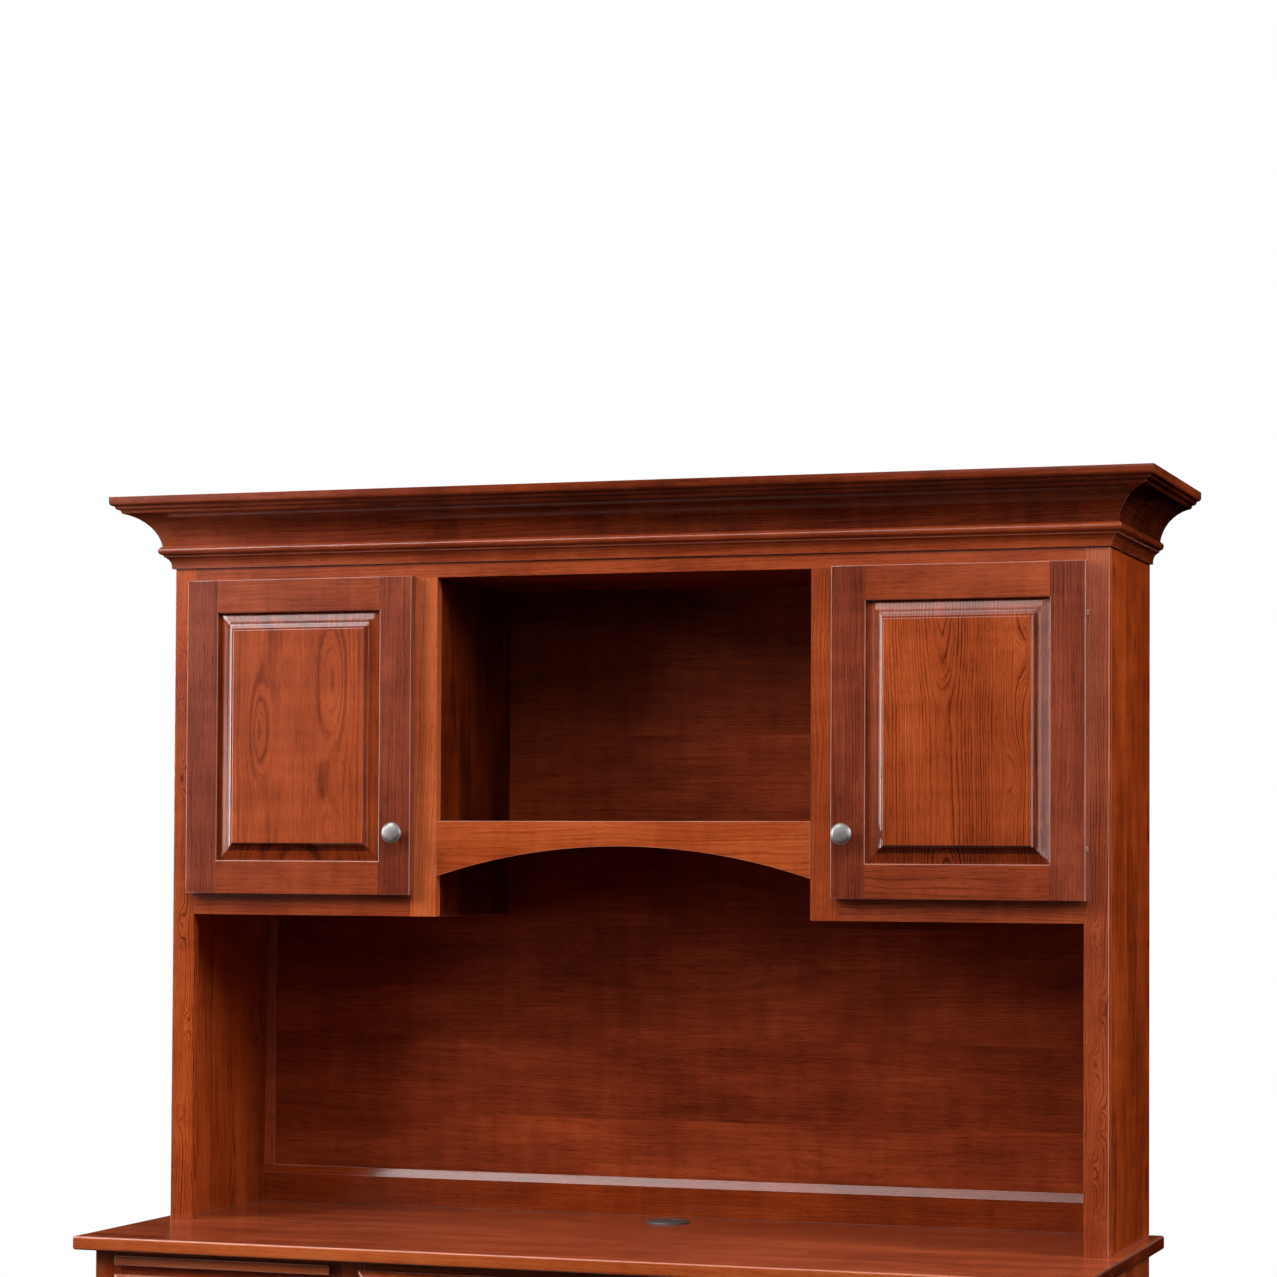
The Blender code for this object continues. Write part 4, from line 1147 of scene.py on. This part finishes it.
def build_base():
    build_desktop()
    inside = {"tone": INSIDE_TONE, "slot": "cherry_dark"}
    for side, word in SIDES:
        glued_panel(word + "_outer_side", Z, Y, X, BASE_STAVE)
        glued_panel(word + "_inner_side", Z, Y, X, BASE_STAVE)
        glued_panel(word + "_pedestal_bottom", X, Y, Z, BASE_STAVE, **inside)
        build_drawer_frame(side, word)
        build_plinth(word)
        build_slide(word)
        for level in ("upper", "middle", "file"):
            build_drawer(f"{word}_{level}_drawer")
    build_drawer("center_drawer")
    plain_board("kneehole_rail", X, -Y)
    glued_panel("desk_back", X, Z, Y, DESK_BACK_STAVE, BACK_ARRIS, figure=0.3, **inside)


def area_light(name, place, size, power, reflected):
    lamp = bpy.data.lights.new(name, "AREA")
    lamp.shape = "RECTANGLE"
    lamp.size, lamp.size_y = size
    lamp.energy = power
    made = bpy.data.objects.new(name, lamp)
    bpy.context.scene.collection.objects.link(made)
    made.location = place
    made.visible_camera = False
    made.visible_glossy = reflected
    made.rotation_mode = "QUATERNION"
    made.rotation_quaternion = (Vector(LAMP_TARGET) - Vector(place)).to_track_quat("-Z", "Y")


def build_world():
    """White where the camera and reflections look, and a softer light from above on the object."""
    world = bpy.data.worlds.new("studio")
    bpy.context.scene.world = world
    nodes = Nodes(world)
    path = nodes.add("LightPath").outputs
    seen = nodes.math("MAXIMUM", path["Is Camera Ray"], path["Is Glossy Ray"])
    seen = nodes.math("MAXIMUM", seen, path["Is Transmission Ray"])
    height = nodes.add("SeparateXYZ", {0: nodes.add("TexCoord").outputs["Generated"]}).outputs[2]
    above = nodes.math("MULTIPLY", nodes.math("GREATER_THAN", height, 0.0), SOFT_LIGHT)
    soft = nodes.add("Background", {"Color": (1.0, 1.0, 1.0, 1.0), "Strength": above})
    white = nodes.add("Background", {"Color": (1.0, 1.0, 1.0, 1.0), "Strength": 1.0})
    mixed = nodes.add("MixShader", {0: seen, 1: soft.outputs[0], 2: white.outputs[0]})
    out = nodes.add("OutputWorld")
    nodes.tree.links.new(mixed.outputs[0], out.inputs["Surface"])


def build_floor():
    shape = bmesh.new()
    bmesh.ops.create_circle(shape, cap_ends=True, segments=FLOOR_SIDES, radius=FLOOR_RADIUS)
    mesh = mesh_of(shape, "floor")
    material, nodes = new_material("pale_floor")
    place = nodes.add("TexCoord").outputs["Object"]
    colour = nodes.clouds(place, FLOOR_CLOUD, FLOOR_GREYS)
    nodes.finish("BsdfPrincipled", {"Base Color": colour, "Roughness": 0.6})
    mesh.materials.append(material)
    floor = bpy.data.objects.new("floor", mesh)
    bpy.context.scene.collection.objects.link(floor)
    floor.visible_diffuse = False


def only_reflected(item):
    """Keeps a studio piece out of the picture and of the light, so that only reflections show it."""
    bpy.context.scene.collection.objects.link(item)
    item.visible_camera = False
    item.visible_diffuse = False
    item.visible_shadow = False


def build_studio_wall():
    """A wall with a flat foot round the object, dim in front and dark elsewhere."""
    shape = bmesh.new()
    ring = bmesh.ops.create_circle(shape, cap_ends=False, segments=WALL_SIDES, radius=WALL_RADIUS)["verts"]
    sides = {edge for vert in ring for edge in vert.link_edges}
    raised = bmesh.ops.extrude_edge_only(shape, edges=list(sides))
    tops = [item for item in raised["geom"] if isinstance(item, bmesh.types.BMVert)]
    bmesh.ops.translate(shape, verts=tops, vec=(0.0, 0.0, WALL_HEIGHT))
    lower = {edge for vert in ring for edge in vert.link_edges if edge.is_boundary}
    foot = bmesh.ops.extrude_edge_only(shape, edges=list(lower))
    near = [item for item in foot["geom"] if isinstance(item, bmesh.types.BMVert)]
    for vert in near:
        vert.co = vert.co.normalized() * FOOT_INNER
    bmesh.ops.translate(shape, verts=near + ring, vec=(0.0, 0.0, FOOT_HEIGHT))
    mesh = mesh_of(shape, "studio_wall")
    material, nodes = new_material("dim_wall")
    place = nodes.add("TexCoord").outputs["Object"]
    colour = nodes.clouds(place, WALL_CLOUD, WALL_GREYS)
    ahead = nodes.math("LESS_THAN", nodes.add("SeparateXYZ", {0: place}).outputs[1], WALL_AHEAD)
    nodes.finish("Emission", {"Color": colour, "Strength": nodes.math("MULTIPLY", ahead, WALL_GLOW)})
    mesh.materials.append(material)
    only_reflected(bpy.data.objects.new("studio_wall", mesh))


def build_cards():
    """Cards that glow from one end to the other, or from the middle outwards."""
    for name, (first, second, levels, reach) in CARDS.items():
        low, high = Vector(first), Vector(second)
        flat = min(range(3), key=lambda axis: abs(high[axis] - low[axis]))
        across, up = (axis for axis in range(3) if axis != flat)
        corners = []
        for i, j in ((0, 0), (1, 0), (1, 1), (0, 1)):
            corner = low.copy()
            corner[across] = (low, high)[i][across]
            corner[up] = (low, high)[j][up]
            corners.append(corner)
        mesh = bpy.data.meshes.new(name)
        mesh.from_pydata(corners, [], [(0, 1, 2, 3)])
        material, nodes = new_material(name)
        place = nodes.add("TexCoord").outputs["Object"]
        colour = nodes.clouds(place, WALL_CLOUD, CARD_GREYS)
        if reach:
            ends = {0: place, 1: tuple((low + high) / 2)}
            away = nodes.add("VectorMath", ends, operation="DISTANCE").outputs["Value"]
            level = nodes.spread(away, 0.0, reach, *levels)
        else:
            along = nodes.add("SeparateXYZ", {0: place}).outputs[across]
            level = nodes.spread(along, low[across], high[across], *levels)
        nodes.finish("Emission", {"Color": colour, "Strength": level})
        mesh.materials.append(material)
        only_reflected(bpy.data.objects.new(name, mesh))


def build_camera():
    yaw, pitch, roll = (math.radians(angle) for angle in (CAMERA_YAW, CAMERA_PITCH, CAMERA_ROLL))
    ahead = Vector((-math.sin(yaw) * math.cos(pitch), math.cos(yaw) * math.cos(pitch), math.sin(pitch)))
    right = Vector((math.cos(yaw), math.sin(yaw), 0.0))
    down = ahead.cross(right)
    turned_right = math.cos(roll) * right + math.sin(roll) * down
    turned_down = math.cos(roll) * down - math.sin(roll) * right
    lens = bpy.data.cameras.new("camera")
    lens.sensor_width = CAMERA_SENSOR
    lens.lens = CAMERA_LENS
    lens.shift_y = CAMERA_SHIFT_Y
    camera = bpy.data.objects.new("camera", lens)
    bpy.context.scene.collection.objects.link(camera)
    place = Matrix((turned_right, -turned_down, -ahead)).transposed().to_4x4()
    place.translation = CAMERA_PLACE
    camera.matrix_world = place
    bpy.context.scene.camera = camera


def main():
    build_hutch()
    for _, word in SIDES:
        build_door(word)
    build_base()
    build_world()
    build_floor()
    build_studio_wall()
    build_cards()
    build_camera()
    for name, lamp in LAMPS.items():
        area_light(name, *lamp)
    bpy.context.scene.view_settings.view_transform = "Standard"


main()
